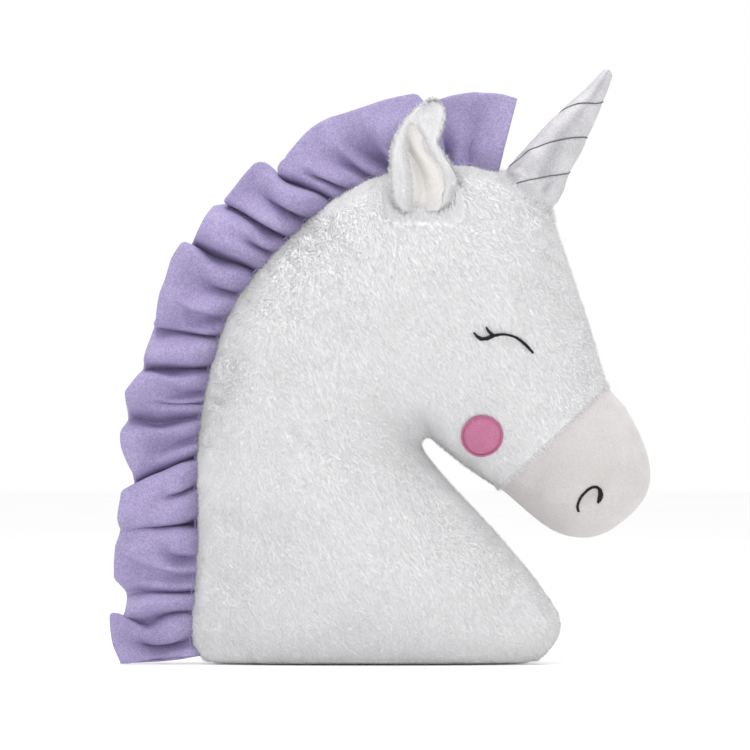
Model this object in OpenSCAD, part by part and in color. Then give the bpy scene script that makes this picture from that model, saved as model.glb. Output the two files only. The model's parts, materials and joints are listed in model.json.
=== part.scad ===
// Plush unicorn: a stuffed head-and-neck cushion that stands on its own base.
// Millimetres. X runs from the mane to the muzzle, Y through the thickness, Z up.
// The origin is on the resting plane, under the middle of the overall box.

/* [Toy] */
// Height from the resting plane to the tip of the horn
toy_height = 416; // [300:1:560]
// How plump the stuffing makes the toy, as a share of the drawn thickness
plumpness = 1; // [0.85:0.05:1.1]
// Thickness of the fleece, with its pile
fleece_t = 3; // [2:0.5:3.5]

/* [Mane] */
// Width of the gathered strip, from the seam to its folded edge
mane_w = 57; // [35:1:60]
// Number of whole gathers along the mane
mane_gathers = 15; // [8:1:18]
// How far each gather swings to either side of the seam
mane_swing = 10; // [4:1:13]
// Thickness of the doubled velour
mane_t = 4.5; // [3:0.5:6]

/* [Horn] */
// Length from the pivot in the seam to the tip
horn_length = 105; // [70:1:130]
// Radius at the seam
horn_base_r = 20.5; // [14:0.5:21]
// Radius of the rounded tip
horn_tip_r = 2; // [1:0.5:4]
// Axial distance between turns of the wound cord
cord_pitch = 32; // [20:1:45]
// Diameter of the wound cord
cord_d = 1.4; // [1:0.1:2]

/* [Ears] */
// Height above the sewn edge
ear_h = 79; // [50:1:90]
// Width at the fullest
ear_w = 48; // [36:1:52]
// Depth of the ear's cup
ear_cup = 11; // [6:1:14]

/* [Face] */
// Radius of the cheek patch
cheek_r = 13.2; // [8:0.2:16]
// Width of the satin stitching round the patch
edging_w = 1.5; // [1:0.1:2.5]
// Height of embroidery above the cloth
thread_rise = 0.9; // [0.5:0.1:1.5]

/* [Hidden] */

drawn_height = 416;                 // the height that the outline below is drawn at
k = toy_height / drawn_height;
FRONT = -1;                         // the side that faces -Y
BACK = 1;

// The head and neck are a row of ribs. Each rib runs straight across the toy, from the edge
// on the mane, crown and nose side to the edge on the chest, throat and jaw side, as [x, z].
crown_edge = k * [[-128, 3], [-133, 25], [-130, 55], [-128, 95], [-128.5, 130], [-126.5, 165],
    [-118, 210], [-101, 254], [-65, 297], [-22, 332], [28, 348.5], [76, 345.5], [110, 330],
    [125, 296], [138, 258], [149, 224], [158, 196], [171, 180], [182, 160], [188.5, 139],
    [187, 121], [177, 106.5], [163.5, 95.5]];
throat_edge = k * [[113, 3], [124.5, 27], [111, 55], [78, 94], [47, 127], [30.5, 147],
    [27.2, 154.5], [26.8, 158.6], [28.2, 161.3], [31, 161.5], [35.5, 158], [42, 152.5],
    [50, 146], [58, 139.5], [66, 134], [74, 129], [81.5, 124], [91, 116.5], [104, 105],
    [119, 94], [133, 89], [147, 88.5], [159.5, 92.5]];
// Half the toy's thickness at the middle of each rib
half_depths = k * plumpness * [33, 45, 53, 58, 60, 60, 60, 60, 59, 58, 58, 57, 55.5, 53, 50, 47,
    44, 42, 40, 37, 31, 21, 0.6];
LAST = len(crown_edge) - 1;         // the rib at the tip of the muzzle
MUZZLE_RIB = 16;                    // the rib that the muzzle seam follows
FACE_RIB = 8;                       // the ears and the face lie beyond this rib
fullness_power = 0.6;               // 0.5 is an ellipse across, 1 a parabola

rib_steps = 2;                      // ribs drawn between two listed ones
across_steps = 12;                  // flats across one side of a rib
seam_bite = 2 * k;                  // how deep the mane is caught in the seam
base_t = 3 * k;                     // thickness of the base panel

fleece_colour = [0.93, 0.93, 0.94];
muzzle_colour = [0.86, 0.84, 0.83];
lilac = [0.66, 0.61, 0.80];
silver = [0.80, 0.80, 0.83];
ink = [0.10, 0.10, 0.11];
pink = [0.85, 0.47, 0.64];
thread_white = [0.97, 0.97, 0.97];
lining_colour = [0.95, 0.94, 0.92];
fibre_colour = [0.98, 0.98, 0.97];

// ---------- curves ----------

// Catmull-Rom curve through a list, where t counts list places
function through(p, t) =
    let(n = len(p) - 1, i = max(0, min(floor(t), n - 1)), f = t - i,
        a = p[max(i - 1, 0)], b = p[i], c = p[i + 1], d = p[min(i + 2, n)])
    0.5 * (2 * b + (c - a) * f + (2 * a - 5 * b + 4 * c - d) * f * f
        + (3 * b - a - 3 * c + d) * f * f * f);

function crown(u) = through(crown_edge, u);
function throat(u) = through(throat_edge, u);
function half_depth(u) = max(through(half_depths, u), 0.5 * k);
function unit(v) = v / norm(v);

// Thickness across a rib, 1 in the middle and 0 at the seams, where s runs from -1 to 1
function bulge(s) = pow(max(0, 1 - s * s), fullness_power);

// Where the ribs turn back from the muzzle's tip, so that the cloth is as thick there
tip_back = unit((crown(LAST - 2) + throat(LAST - 2)) / 2 - (crown(LAST) + throat(LAST)) / 2);
function tip_share(u) = max(0, min(1, (u - (LAST - 2)) / 2));

// A point of the toy's skin: rib u, place s across it, side FRONT or BACK, inset into the toy
function skin(u, s, side, inset = 0) =
    let(a = crown(u), b = throat(u), half = norm(b - a) / 2,
        shrunk = max(half - inset, 0.4) / half,
        middle = (a + b) / 2 + tip_back * inset * tip_share(u),
        p = middle + (b - a) / 2 * shrunk * s,
        y = max(half_depth(u) - inset, 0.4) * bulge(s))
    [p[0], side * y, p[1]];

// Places across a rib, closer together near the seams
across = [for (j = [0 : across_steps]) sin(90 * (2 * j / across_steps - 1))];

// Which rib the point [x, z] lies on, between ribs lo and hi, by halving
function beside(u, p) =
    let(a = crown(u), d = throat(u) - a) d[0] * (p[1] - a[1]) - d[1] * (p[0] - a[0]);
function rib_of(p, lo, hi, tries = 22) =
    tries == 0 ? (lo + hi) / 2
    : let(m = (lo + hi) / 2)
        beside(lo, p) * beside(m, p) <= 0 ? rib_of(p, lo, m, tries - 1)
        : rib_of(p, m, hi, tries - 1);
// How far the face's skin stands from the middle plane at [x, z]
function face_depth(p) =
    let(u = rib_of(p, FACE_RIB, LAST - 0.1), a = crown(u), d = throat(u) - a,
        s = 2 * ((p - a) * d) / (d * d) - 1)
    half_depth(u) * bulge(s);

// ---------- solids from grids ----------

function flat(rows) = [for (row = rows) each row];

// A closed solid between two grids of points of the same size. Seen from outside, a runs
// clockwise by rows; wrap joins the last row to the first.
module between(a, b, wrap = false) {
    rows = len(a);
    cols = len(a[0]);
    shift = rows * cols;
    last = wrap ? rows - 1 : rows - 2;
    function at(i, j) = (i % rows) * cols + j;
    polyhedron(
        points = concat(flat(a), flat(b)),
        faces = concat(
            [for (i = [0 : last], j = [0 : cols - 2]) each
                [[at(i, j), at(i, j + 1), at(i + 1, j + 1)], [at(i, j), at(i + 1, j + 1), at(i + 1, j)]]],
            [for (i = [0 : last], j = [0 : cols - 2]) each
                [[at(i, j) + shift, at(i + 1, j + 1) + shift, at(i, j + 1) + shift],
                 [at(i, j) + shift, at(i + 1, j) + shift, at(i + 1, j + 1) + shift]]],
            [for (i = [0 : last]) each
                [[at(i, 0), at(i + 1, 0), at(i + 1, 0) + shift],
                 [at(i, 0), at(i + 1, 0) + shift, at(i, 0) + shift],
                 [at(i, cols - 1), at(i + 1, cols - 1) + shift, at(i + 1, cols - 1)],
                 [at(i, cols - 1), at(i, cols - 1) + shift, at(i + 1, cols - 1) + shift]]],
            wrap ? [] : [for (j = [0 : cols - 2]) each
                [[at(0, j), at(0, j) + shift, at(0, j + 1) + shift],
                 [at(0, j), at(0, j + 1) + shift, at(0, j + 1)],
                 [at(rows - 1, j), at(rows - 1, j + 1) + shift, at(rows - 1, j) + shift],
                 [at(rows - 1, j), at(rows - 1, j + 1), at(rows - 1, j + 1) + shift]]]),
        convexity = 8);
}

// A closed solid through rings of points, with a flat cap at each end
module lofted(rings) {
    n = len(rings);
    m = len(rings[0]);
    polyhedron(
        points = flat(rings),
        faces = concat(
            [for (i = [0 : n - 2], j = [0 : m - 1]) each
                let(a = i * m + j, b = i * m + (j + 1) % m)
                [[a, a + m, b + m], [a, b + m, b]]],
            [[for (j = [0 : m - 1]) j]],
            [[for (j = [m - 1 : -1 : 0]) (n - 1) * m + j]]),
        convexity = 8);
}

// A round cord through a list of points. Its rings turn about the direction "up".
module cord(path, d, up, sides = 6) {
    n = len(path);
    lofted([for (i = [0 : n - 1])
        let(t = unit(path[min(i + 1, n - 1)] - path[max(i - 1, 0)]),
            a = unit(cross(t, up)), b = cross(t, a))
        [for (j = [0 : sides - 1]) path[i] + d / 2 * (cos(360 * j / sides) * a + sin(360 * j / sides) * b)]]);
}

// A flat ribbon of stitches on the face: path is [x, z, width] and side is FRONT or BACK
module stitched(path, side, rise = thread_rise, sink = 1) {
    n = len(path);
    function spot(i, way) =
        let(p = [path[i][0], path[i][1]],
            q = [path[min(i + 1, n - 1)][0], path[min(i + 1, n - 1)][1]],
            o = [path[max(i - 1, 0)][0], path[max(i - 1, 0)][1]],
            t = unit(q - o))
        p + way * path[i][2] / 2 * [-t[1], t[0]];
    function row(i, lift) = [for (way = side * [-1, 1])
        let(p = spot(i, way)) [p[0], side * (face_depth(p) + lift), p[1]]];
    between([for (i = [0 : n - 1]) row(i, rise)], [for (i = [0 : n - 1]) row(i, -sink)]);
}

function smooth_path(points, steps) =
    [for (i = [0 : steps * (len(points) - 1)]) through(points, i / steps)];

// ---------- the stuffed head and neck ----------

function ribs(from, to) = [for (i = [from * rib_steps : to * rib_steps]) i / rib_steps];
function skin_rows(from, to, side, inset) =
    [for (u = ribs(from, to)) [for (s = side * across) skin(u, s, side, inset)]];

module panel(from, to, side) {
    between(skin_rows(from, to, side, 0), skin_rows(from, to, side, fleece_t));
}

// The ball that the horn's foot turns in, cut out of the head
horn_axis = unit([0.555, 0.832]);
horn_pivot = k * [101.5, 328.5];
foot_r = horn_base_r * k;
socket_gap = 0.5;
module horn_place() {
    translate([horn_pivot[0], 0, horn_pivot[1]])
        rotate([0, atan2(horn_axis[0], horn_axis[1]), 0])
            children();
}
module horn_socket() {
    horn_place() sphere(r = foot_r + socket_gap, $fn = 48);
}

module head_panel(side) {
    color(fleece_colour) difference() {
        panel(0, MUZZLE_RIB, side);
        horn_socket();
    }
}
module front_head_panel() { head_panel(FRONT); }
module back_head_panel() { head_panel(BACK); }

module front_muzzle_panel() { color(muzzle_colour) panel(MUZZLE_RIB, LAST, FRONT); }
module back_muzzle_panel() { color(muzzle_colour) panel(MUZZLE_RIB, LAST, BACK); }

// The flat gusset that the toy stands on
base_outline = [for (side = [FRONT, BACK], s = side * across)
    let(p = skin(0, -s, side)) if (abs(s * side + 1) > 0.001) [p[0], p[1]]];
module base_panel() {
    color(fleece_colour) linear_extrude(height = base_t) polygon(base_outline);
}

module body_filling() {
    color(fibre_colour) difference() {
        lofted([for (u = ribs(0, LAST))
            concat([for (j = [0 : across_steps - 1]) skin(u, across[j], FRONT, fleece_t)],
                   [for (j = [0 : across_steps - 1]) skin(u, -across[j], BACK, fleece_t)])]);
        horn_socket();
    }
}

// ---------- the mane ----------

MANE_FROM = 0.15;                   // ribs where the strip starts, at the base
MANE_TO = 11.15;                    // and ends, behind the horn
steps_per_gather = 7;
mane_rows = 5;
mane_scallop = 2.5 * k;             // how far the folded edge draws back at each gather
mane_lean = 3 * k;                  // how far the pleats lean along the seam
mane_low_lift = 14 * k;             // how far the lowest corner is turned up to clear the ground
mane_low_part = 1 / 12;             // the share of the mane that is turned up
mane_marks_n = 110;

function mane_out(u) =
    let(t = unit(crown(min(u + 0.05, MANE_TO + 0.2)) - crown(max(u - 0.05, 0)))) [-t[1], t[0]];
// Distance along the crown edge, so that the gathers are evenly spaced
mane_marks = [for (i = [0 : mane_marks_n]) MANE_FROM + (MANE_TO - MANE_FROM) * i / mane_marks_n];
mane_steps = [for (i = [1 : mane_marks_n]) norm(crown(mane_marks[i]) - crown(mane_marks[i - 1]))];
mane_runs = [for (i = 0, total = 0; i <= mane_marks_n;
    total = total + (i < mane_marks_n ? mane_steps[i] : 0), i = i + 1) total];
mane_length = mane_runs[mane_marks_n];
function mane_u(run) = lookup(run, [for (i = [0 : mane_marks_n]) [mane_runs[i], mane_marks[i]]]);

// The middle of the cloth at f, from 0 to 1 along the mane, and v, from 0 to 1 outwards
function mane_point(f, v) =
    let(u = mane_u(f * mane_length), turn = 360 * mane_gathers * f,
        edge = crown(u), out = mane_out(u), along = [out[1], -out[0]],
        reach = -seam_bite + v * (k * mane_w + seam_bite - mane_scallop * (1 - cos(turn * 2)) * v),
        lean = mane_lean * v * sin(2 * turn),
        low = mane_low_lift * v * max(0, 1 - f / mane_low_part),
        p = edge + out * reach + along * lean)
    [p[0], k * mane_swing * pow(v, 0.8) * sin(turn), p[1] + low];
function mane_normal(f, v) =
    let(e = 0.002, a = mane_point(min(f + e, 1), v) - mane_point(max(f - e, 0), v),
        b = mane_point(f, min(v + 0.02, 1)) - mane_point(f, max(v - 0.02, 0)))
    unit(cross(a, b));
module mane_ruffle() {
    n = mane_gathers * steps_per_gather;
    function rows(way) = [for (i = [0 : n]) [for (j = [0 : mane_rows])
        mane_point(i / n, j / mane_rows) + way * k * mane_t / 2 * mane_normal(i / n, j / mane_rows)]];
    color(lilac) between(rows(1), rows(-1));
}
// The running thread that draws the strip up, along its sewn edge
module mane_gathering_thread() {
    color(lilac) cord([for (i = [0 : 56]) mane_point(i / 56, 0.07)], 1.1 * k, [0, 1, 0]);
}

// ---------- seams ----------

seam_d = 1.2 * k;
module perimeter_seam_thread() {
    rows = concat([for (i = [1 : 3 * LAST]) crown(i / 3)],
        [for (i = [3 * LAST - 1 : -1 : 1]) throat(i / 3)]);
    color(thread_white) difference() {
        cord([for (p = rows) [p[0], 0, p[1]]], seam_d, [0, 1, 0]);
        horn_socket();
    }
}
module muzzle_seam(side) {
    across_muzzle = unit(throat(MUZZLE_RIB) - crown(MUZZLE_RIB));
    up = [-across_muzzle[1], 0, across_muzzle[0]];
    color(thread_white)
        cord([for (j = [1 : 23]) skin(MUZZLE_RIB, sin(90 * (j / 12 - 1)), side)], seam_d, up);
}
module front_muzzle_seam_thread() { muzzle_seam(FRONT); }
module back_muzzle_seam_thread() { muzzle_seam(BACK); }
module base_seam_thread() {
    color(thread_white)
        cord([for (i = [1 : len(base_outline) - 1]) [base_outline[i][0], base_outline[i][1], base_t]],
            seam_d, [0, 0, 1]);
}
// The hand-sewn ladder stitches that close the stuffing hole, low on the back
stitch_d = 0.9 * k;
module closing_stitches() {
    stitches = 11;
    rib = 0.4;
    first = 0.16;                   // place of the first stitch across the rib
    step = 0.035;                   // and of each one after it
    slope = 28;                     // degrees that the cloth slopes there
    color(thread_white) for (i = [0 : stitches - 1])
        translate(skin(rib, first + step * i, BACK)) rotate([-slope, 0, 0])
            cylinder(h = 6 * k, d = stitch_d, center = true, $fn = 16);
}

// ---------- the face ----------

eyelid = k * [[69, 227.2, 2.0], [73.8, 227.8, 2.6], [78.4, 229.6, 2.2], [84.3, 230.5, 1.5],
    [90.1, 229.6, 1.4], [94.7, 227.5, 1.5], [98.2, 224.8, 1.8], [101.6, 221.6, 1.7], [104.9, 217.6, 1.2]];
outer_lash = k * [[64.8, 231.4, 0.9], [66.6, 229.2, 1.7], [69.2, 227.4, 2.2]];
upper_lash = k * [[73.2, 235.2, 0.8], [74.4, 233, 1.6], [77.6, 230, 2.0]];
nostril = k * [[137.4, 107.4, 1.2], [136.8, 111.4, 1.4], [138.8, 116.7, 1.3], [142.3, 120.9, 1.3],
    [145.7, 123.6, 1.4], [149.6, 124.4, 1.6], [152.4, 122.4, 2.2], [152.9, 119, 3.6], [152, 115.8, 3.0],
    [150.8, 113.8, 1.2]];
cheek = k * [70.8, 160.4];

// The outline of a ribbon of stitches, drawn flat: path is [x, z, width]
module ribbon(path) {
    n = len(path);
    function spot(i, way) =
        let(o = path[max(i - 1, 0)], q = path[min(i + 1, n - 1)], t = unit([q[0] - o[0], q[1] - o[1]]))
        [path[i][0], path[i][1]] + way * path[i][2] / 2 * [-t[1], t[0]];
    polygon(concat([for (i = [0 : n - 1]) spot(i, 1)], [for (i = [n - 1 : -1 : 0]) spot(i, -1)]));
}
// The closed lid and its two lashes are one piece of stitching, let 1 mm into the cloth
module eye(side) {
    color(ink) intersection() {
        translate([0, side * 35 * k, 0]) rotate([90, 0, 0])
            linear_extrude(height = 60 * k, center = true) {
                ribbon(smooth_path(eyelid, 3));
                ribbon(smooth_path(outer_lash, 3));
                ribbon(smooth_path(upper_lash, 3));
            }
        between(skin_rows(FACE_RIB, MUZZLE_RIB, side, -thread_rise),
            skin_rows(FACE_RIB, MUZZLE_RIB, side, 1));
    }
}
module front_eye_embroidery() { eye(FRONT); }
module back_eye_embroidery() { eye(BACK); }

module nostril_of(side) { color(ink) stitched(smooth_path(nostril, 3), side); }
module front_nostril_embroidery() { nostril_of(FRONT); }
module back_nostril_embroidery() { nostril_of(BACK); }

// A round patch as a square grid drawn out to a circle
module cheek_patch(side) {
    steps = 8;
    function spot(i, j) =
        let(a = 2 * i / steps - 1, b = side * (2 * j / steps - 1))
        cheek + k * cheek_r * [a * sqrt(1 - b * b / 2), b * sqrt(1 - a * a / 2)];
    function rows(lift) = [for (i = [0 : steps]) [for (j = [0 : steps])
        let(p = spot(i, j)) [p[0], side * (face_depth(p) + lift), p[1]]]];
    color(pink) between(rows(0.5), rows(-1));
}
module front_cheek_patch() { cheek_patch(FRONT); }
module back_cheek_patch() { cheek_patch(BACK); }

module cheek_edging(side) {
    steps = 36;
    function row(i, lift) = [for (way = [-1, 1])
        let(r = k * (cheek_r + edging_w / 2 + way * edging_w / 2), a = -side * 360 * i / steps,
            p = cheek + r * [cos(a), sin(a)])
        [p[0], side * (face_depth(p) + lift), p[1]]];
    color(pink) between([for (i = [0 : steps - 1]) row(i, 1)], [for (i = [0 : steps - 1]) row(i, -1)], true);
}
module front_cheek_edging() { cheek_edging(FRONT); }
module back_cheek_edging() { cheek_edging(BACK); }

// ---------- the ears ----------

ear_foot = k * [25, 316];           // where the sewn edge sits on the head, as [x, z]
ear_hinge_y = -(face_depth(ear_foot) + 4.6 * k);
ear_lean_in = 14;                   // degrees that the ear leans towards the mane at rest
ear_lining_t = 2 * k;
ear_curl = 80;                      // degrees that each half of the cup turns through
// Up the ear's height: its half width as a share of ear_w / 2, its middle, and the cup's depth
ear_widths = [0.56, 0.85, 0.97, 1, 0.91, 0.76, 0.72, 0.59, 0.2];
ear_middles = k * [3, 4.6, 5.5, 4.4, 1.8, 0.2, 4.1, 8.8, 13];
ear_depths = [0.5, 0.8, 1, 1, 0.9, 0.8, 0.65, 0.45, 0.2];

// A point of the ear: h runs up it from 0 to 1, and v across it from -1 to 1
function ear_point(h, v, inset) =
    let(t = h * (len(ear_widths) - 1), w = through(ear_widths, t) * k * ear_w / 2,
        cup = through(ear_depths, t) * k * ear_cup, wide = max(w - inset * 0.4, 0.5))
    [through(ear_middles, t) + wide * sin(ear_curl * v), cup * (cos(ear_curl * v) - 0.5) - inset + 1 * k,
     k * ear_h * h];
module ear_place() {
    translate([ear_foot[0], ear_hinge_y, ear_foot[1]]) rotate([-ear_lean_in, 0, 0]) children();
}
module ear_skin(from, to, low, high, spread) {
    rows = 12;
    cols = 10;
    function grid(inset) = [for (i = [0 : rows]) [for (j = [0 : cols])
        ear_point(low + (high - low) * i / rows, spread * (2 * j / cols - 1), inset)]];
    ear_place() between(grid(to), grid(from));
}
module front_ear_outer() {
    color(fleece_colour) ear_skin(0, 4 * k, 0, 1, 1);
}
module front_ear_lining() {
    color(lining_colour) ear_skin(4 * k, 4 * k + ear_lining_t, 0.04, 0.93, 0.9);
}
module back_ear_outer() { mirror([0, 1, 0]) front_ear_outer(); }
module back_ear_lining() { mirror([0, 1, 0]) front_ear_lining(); }

// Tacking stitches that hold the ear's sewn edge, let into the fleece
module ear_stitches(side) {
    stitch_l = 3.4 * k;
    step = 6 * k;
    below_foot = 4 * k;
    color(thread_white) for (i = [-2 : 2]) {
        p = ear_foot + [step * i, -below_foot];
        translate([p[0], side * face_depth(p), p[1]])
            rotate([0, 90, 0]) cylinder(h = stitch_l, d = stitch_d, center = true, $fn = 16);
    }
}
module front_ear_stitches() { ear_stitches(FRONT); }
module back_ear_stitches() { ear_stitches(BACK); }

// ---------- the horn ----------

horn_cloth_t = 1 * k;
horn_l = horn_length * k;
horn_tip = horn_tip_r * k;
// The cone leaves the ball at the height where their sides meet
function horn_r(z) = foot_r + (horn_tip - foot_r) * max(0, z) / horn_l;
module horn_solid(inset) {
    foot = foot_r - inset;
    tip = max(horn_tip - inset, 0.5);
    rotate_extrude($fn = 64)
        polygon(concat(
            [for (a = [-90 : 10 : 0]) foot * [cos(a), sin(a)]],
            [for (a = [0 : 15 : 90]) [tip * cos(a), horn_l - horn_tip + tip * sin(a)]]));
}
module horn_shell() {
    color(silver) horn_place() difference() {
        horn_solid(0);
        horn_solid(horn_cloth_t);
    }
}
module horn_filling() { color(fibre_colour) horn_place() horn_solid(horn_cloth_t); }

// The cord wound round the horn by hand, so that no two of its turns lie quite alike
cord_climb = 14.5 * k;              // its height where the first turn ends
cord_start = -0.25;                 // turns
cord_end = 2.45;
// How far it lies higher on the muzzle side, in horn radii, at turns along it
cord_slants = [[-0.25, 0.9], [0, 0.86], [0.5, 1.19], [1, 0.85], [1.5, 0.25], [2, 0.82], [2.45, 0.8]];
// How far it bows up on the front, in horn radii, at the first turn and more at each one after it
cord_bow = 0.4;
cord_more_bow = 0.22;
cord_skew = 0.55;                   // how much of the bow lies towards the mane
module horn_wound_cord() {
    steps = 26;
    count = floor(steps * (cord_end - cord_start));
    function spot(turn) =
        let(a = 360 * turn, climb = cord_climb + cord_pitch * k * turn,
            bow = cord_bow + cord_more_bow * turn,
            z = climb + horn_r(climb)
                * (lookup(turn, cord_slants) * cos(a) - bow * sin(a) * (1 - cord_skew * cos(a))))
        [horn_r(z) * cos(a), horn_r(z) * sin(a), z];
    color(silver * 0.6) horn_place()
        cord([for (i = [0 : count]) spot(cord_start + i / steps)], cord_d * k, [0, 0, 1]);
}

// ---------- the care label ----------

label_w = 24 * k;
label_l = 22 * k;
label_t = 0.8 * k;
label_lift = 1.2 * k;               // the label's height above the resting plane
label_x = -20 * k;
label_bite = 3 * k;                 // how much of the label is caught in the base seam
first_rib_height = crown_edge[1][1] - crown_edge[0][1];
module care_label() {
    p = skin(label_lift / first_rib_height, 0, BACK);
    color(thread_white)
        translate([label_x - label_w / 2, p[1] - label_bite, label_lift])
            cube([label_w, label_l + label_bite, label_t]);
}

front_head_panel();
back_head_panel();
front_muzzle_panel();
back_muzzle_panel();
base_panel();
body_filling();
mane_ruffle();
mane_gathering_thread();
perimeter_seam_thread();
front_muzzle_seam_thread();
back_muzzle_seam_thread();
base_seam_thread();
closing_stitches();
front_eye_embroidery();
back_eye_embroidery();
front_cheek_patch();
back_cheek_patch();
front_cheek_edging();
back_cheek_edging();
front_nostril_embroidery();
back_nostril_embroidery();
front_ear_stitches();
back_ear_stitches();
front_ear_outer();
front_ear_lining();
back_ear_outer();
back_ear_lining();
horn_shell();
horn_filling();
horn_wound_cord();
care_label();
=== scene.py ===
"""A plush unicorn cushion: fleece head and neck, velour mane, folded ears, foil horn and embroidered face.

Lengths are written in millimetres and turned to metres when a mesh is made. +Z is up, +X points from the
mane to the muzzle, and the face that is seen first looks along -Y.
"""

import json
import math

import bmesh
import bpy
import numpy as np
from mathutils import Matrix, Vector
from mathutils.bvhtree import BVHTree


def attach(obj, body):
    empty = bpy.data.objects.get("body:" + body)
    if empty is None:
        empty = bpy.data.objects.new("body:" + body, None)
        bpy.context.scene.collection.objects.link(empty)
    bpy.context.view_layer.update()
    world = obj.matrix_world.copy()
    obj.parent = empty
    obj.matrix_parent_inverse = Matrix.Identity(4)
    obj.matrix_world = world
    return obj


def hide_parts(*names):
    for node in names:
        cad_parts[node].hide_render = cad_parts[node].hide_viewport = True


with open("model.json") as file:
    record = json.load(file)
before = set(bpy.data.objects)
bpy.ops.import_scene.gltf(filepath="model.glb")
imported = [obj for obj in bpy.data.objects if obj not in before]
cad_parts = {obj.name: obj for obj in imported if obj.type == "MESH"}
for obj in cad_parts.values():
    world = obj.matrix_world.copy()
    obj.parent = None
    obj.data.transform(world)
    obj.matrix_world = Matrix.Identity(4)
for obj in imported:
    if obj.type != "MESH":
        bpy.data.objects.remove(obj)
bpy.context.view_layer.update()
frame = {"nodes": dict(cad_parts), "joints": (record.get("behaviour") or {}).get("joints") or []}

MM = 0.001
FRONT = -1
BACK = 1
SIDES = {"front": FRONT, "back": BACK}

# ---------- the drawn outline, the same as the CAD part's ----------

# Each rib runs straight across the toy, from the crown edge to the throat edge, as x, z.
CROWN_EDGE = [
    (-128, 3), (-133, 25), (-130, 55), (-128, 95), (-128.5, 130), (-126.5, 165), (-118, 210), (-101, 254),
    (-65, 297), (-22, 332), (28, 348.5), (76, 345.5), (110, 330), (125, 296), (138, 258), (149, 224),
    (158, 196), (171, 180), (182, 160), (188.5, 139), (187, 121), (177, 106.5), (163.5, 95.5),
]
THROAT_EDGE = [
    (113, 3), (124.5, 27), (111, 55), (78, 94), (47, 127), (30.5, 147), (27.2, 154.5), (26.8, 158.6),
    (28.2, 161.3), (31, 161.5), (35.5, 158), (42, 152.5), (50, 146), (58, 139.5), (66, 134), (74, 129),
    (81.5, 124), (91, 116.5), (104, 105), (119, 94), (133, 89), (147, 88.5), (159.5, 92.5),
]
HALF_DEPTHS = [33, 45, 53, 58, 60, 60, 60, 60, 59, 58, 58, 57, 55.5, 53, 50, 47, 44, 42, 40, 37, 31, 21, 0.6]
LAST_RIB = len(CROWN_EDGE) - 1
MUZZLE_RIB = 16
FULLNESS = 0.6          # 0.5 is an ellipse across a rib, 1 a parabola

HORN_PIVOT = np.array([101.5, 0, 328.5])
HORN_AXIS = np.array([0.5549, 0, 0.8319])
HORN_LENGTH = 105
HORN_BASE_R = 20.5
EAR_FOOT = np.array([25, 0, 316])
BASE_SEAM_Z = 3.0
BASE_MIDDLE = np.array([-8, 0, 0])
REST_Z = 0.6            # the underside of the base cloth, kept just clear of the table
COMBED = np.array([0.6, 0, -0.8])      # the way the pile of the body lies
LOW_LIFT = 12.5         # how far the lowest corner of the mane is turned up


def through(points, t):
    """Catmull-Rom curve through a list; t counts list places and may be an array."""
    p = np.atleast_2d(np.asarray(points, float))
    if p.shape[0] == 1:
        p = p.T
    t = np.atleast_1d(np.asarray(t, float))
    n = len(p) - 1
    i = np.clip(np.floor(t).astype(int), 0, n - 1)
    f = (t - i)[:, None]
    a, b, c, d = p[np.maximum(i - 1, 0)], p[i], p[i + 1], p[np.minimum(i + 2, n)]
    return 0.5 * (2 * b + (c - a) * f + (2 * a - 5 * b + 4 * c - d) * f**2 + (3 * b - a - 3 * c + d) * f**3)


def skin(u, s, side):
    """Points of the drawn skin: rib u, place s across it from -1 to 1, front or back."""
    a, b = through(CROWN_EDGE, u), through(THROAT_EDGE, u)
    s = np.atleast_1d(s)[:, None]
    p = (a + b) / 2 + (b - a) / 2 * s
    y = np.maximum(through(HALF_DEPTHS, u), 0.5) * np.maximum(0, 1 - s**2) ** FULLNESS
    return np.column_stack([p[:, 0], side * y[:, 0], p[:, 1]])


def smooth(x, low, high):
    """0 below low, 1 above high, and an even turn between."""
    t = np.clip((np.asarray(x, float) - low) / (high - low), 0, 1)
    return t * t * (3 - 2 * t)


def unit(v):
    return v / np.maximum(np.linalg.norm(v, axis=-1, keepdims=True), 1e-9)


class Noise:
    """Smooth, repeatable noise in space: a few waves in seeded directions."""

    def __init__(self, seed, wavelength, waves=24):
        rng = np.random.default_rng(seed)
        self.k = unit(rng.normal(size=(waves, 3))) * (2 * math.pi / wavelength)
        self.k *= rng.uniform(0.6, 1.5, (waves, 1))
        self.phase = rng.uniform(0, 2 * math.pi, waves)

    def __call__(self, p):
        return np.sin(np.asarray(p) @ self.k.T + self.phase).sum(axis=-1) / math.sqrt(len(self.phase) / 2)


# ---------- meshes ----------

def new_mesh(name, verts, faces, material=None, flat=False):
    """A mesh object from points in millimetres."""
    mesh = bpy.data.meshes.new(name)
    mesh.from_pydata((np.asarray(verts, float) * MM).tolist(), [], [tuple(int(i) for i in f) for f in faces])
    mesh.validate()
    if not flat:
        mesh.shade_smooth()
    obj = bpy.data.objects.new(name, mesh)
    bpy.context.scene.collection.objects.link(obj)
    if material:
        mesh.materials.append(material)
    return obj


def points_of(obj):
    co = np.empty(len(obj.data.vertices) * 3)
    obj.data.vertices.foreach_get("co", co)
    return co.reshape(-1, 3) / MM


def set_points(obj, pts):
    obj.data.vertices.foreach_set("co", (np.asarray(pts) * MM).ravel())
    obj.data.update()


def normals_of(obj):
    no = np.empty(len(obj.data.vertices) * 3)
    obj.data.vertices.foreach_get("normal", no)
    return no.reshape(-1, 3)


def face_outwards(obj):
    """Turns every face the same way round, outwards on a closed mesh."""
    bm = bmesh.new()
    bm.from_mesh(obj.data)
    bmesh.ops.recalc_face_normals(bm, faces=bm.faces)
    bm.to_mesh(obj.data)
    bm.free()


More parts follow.
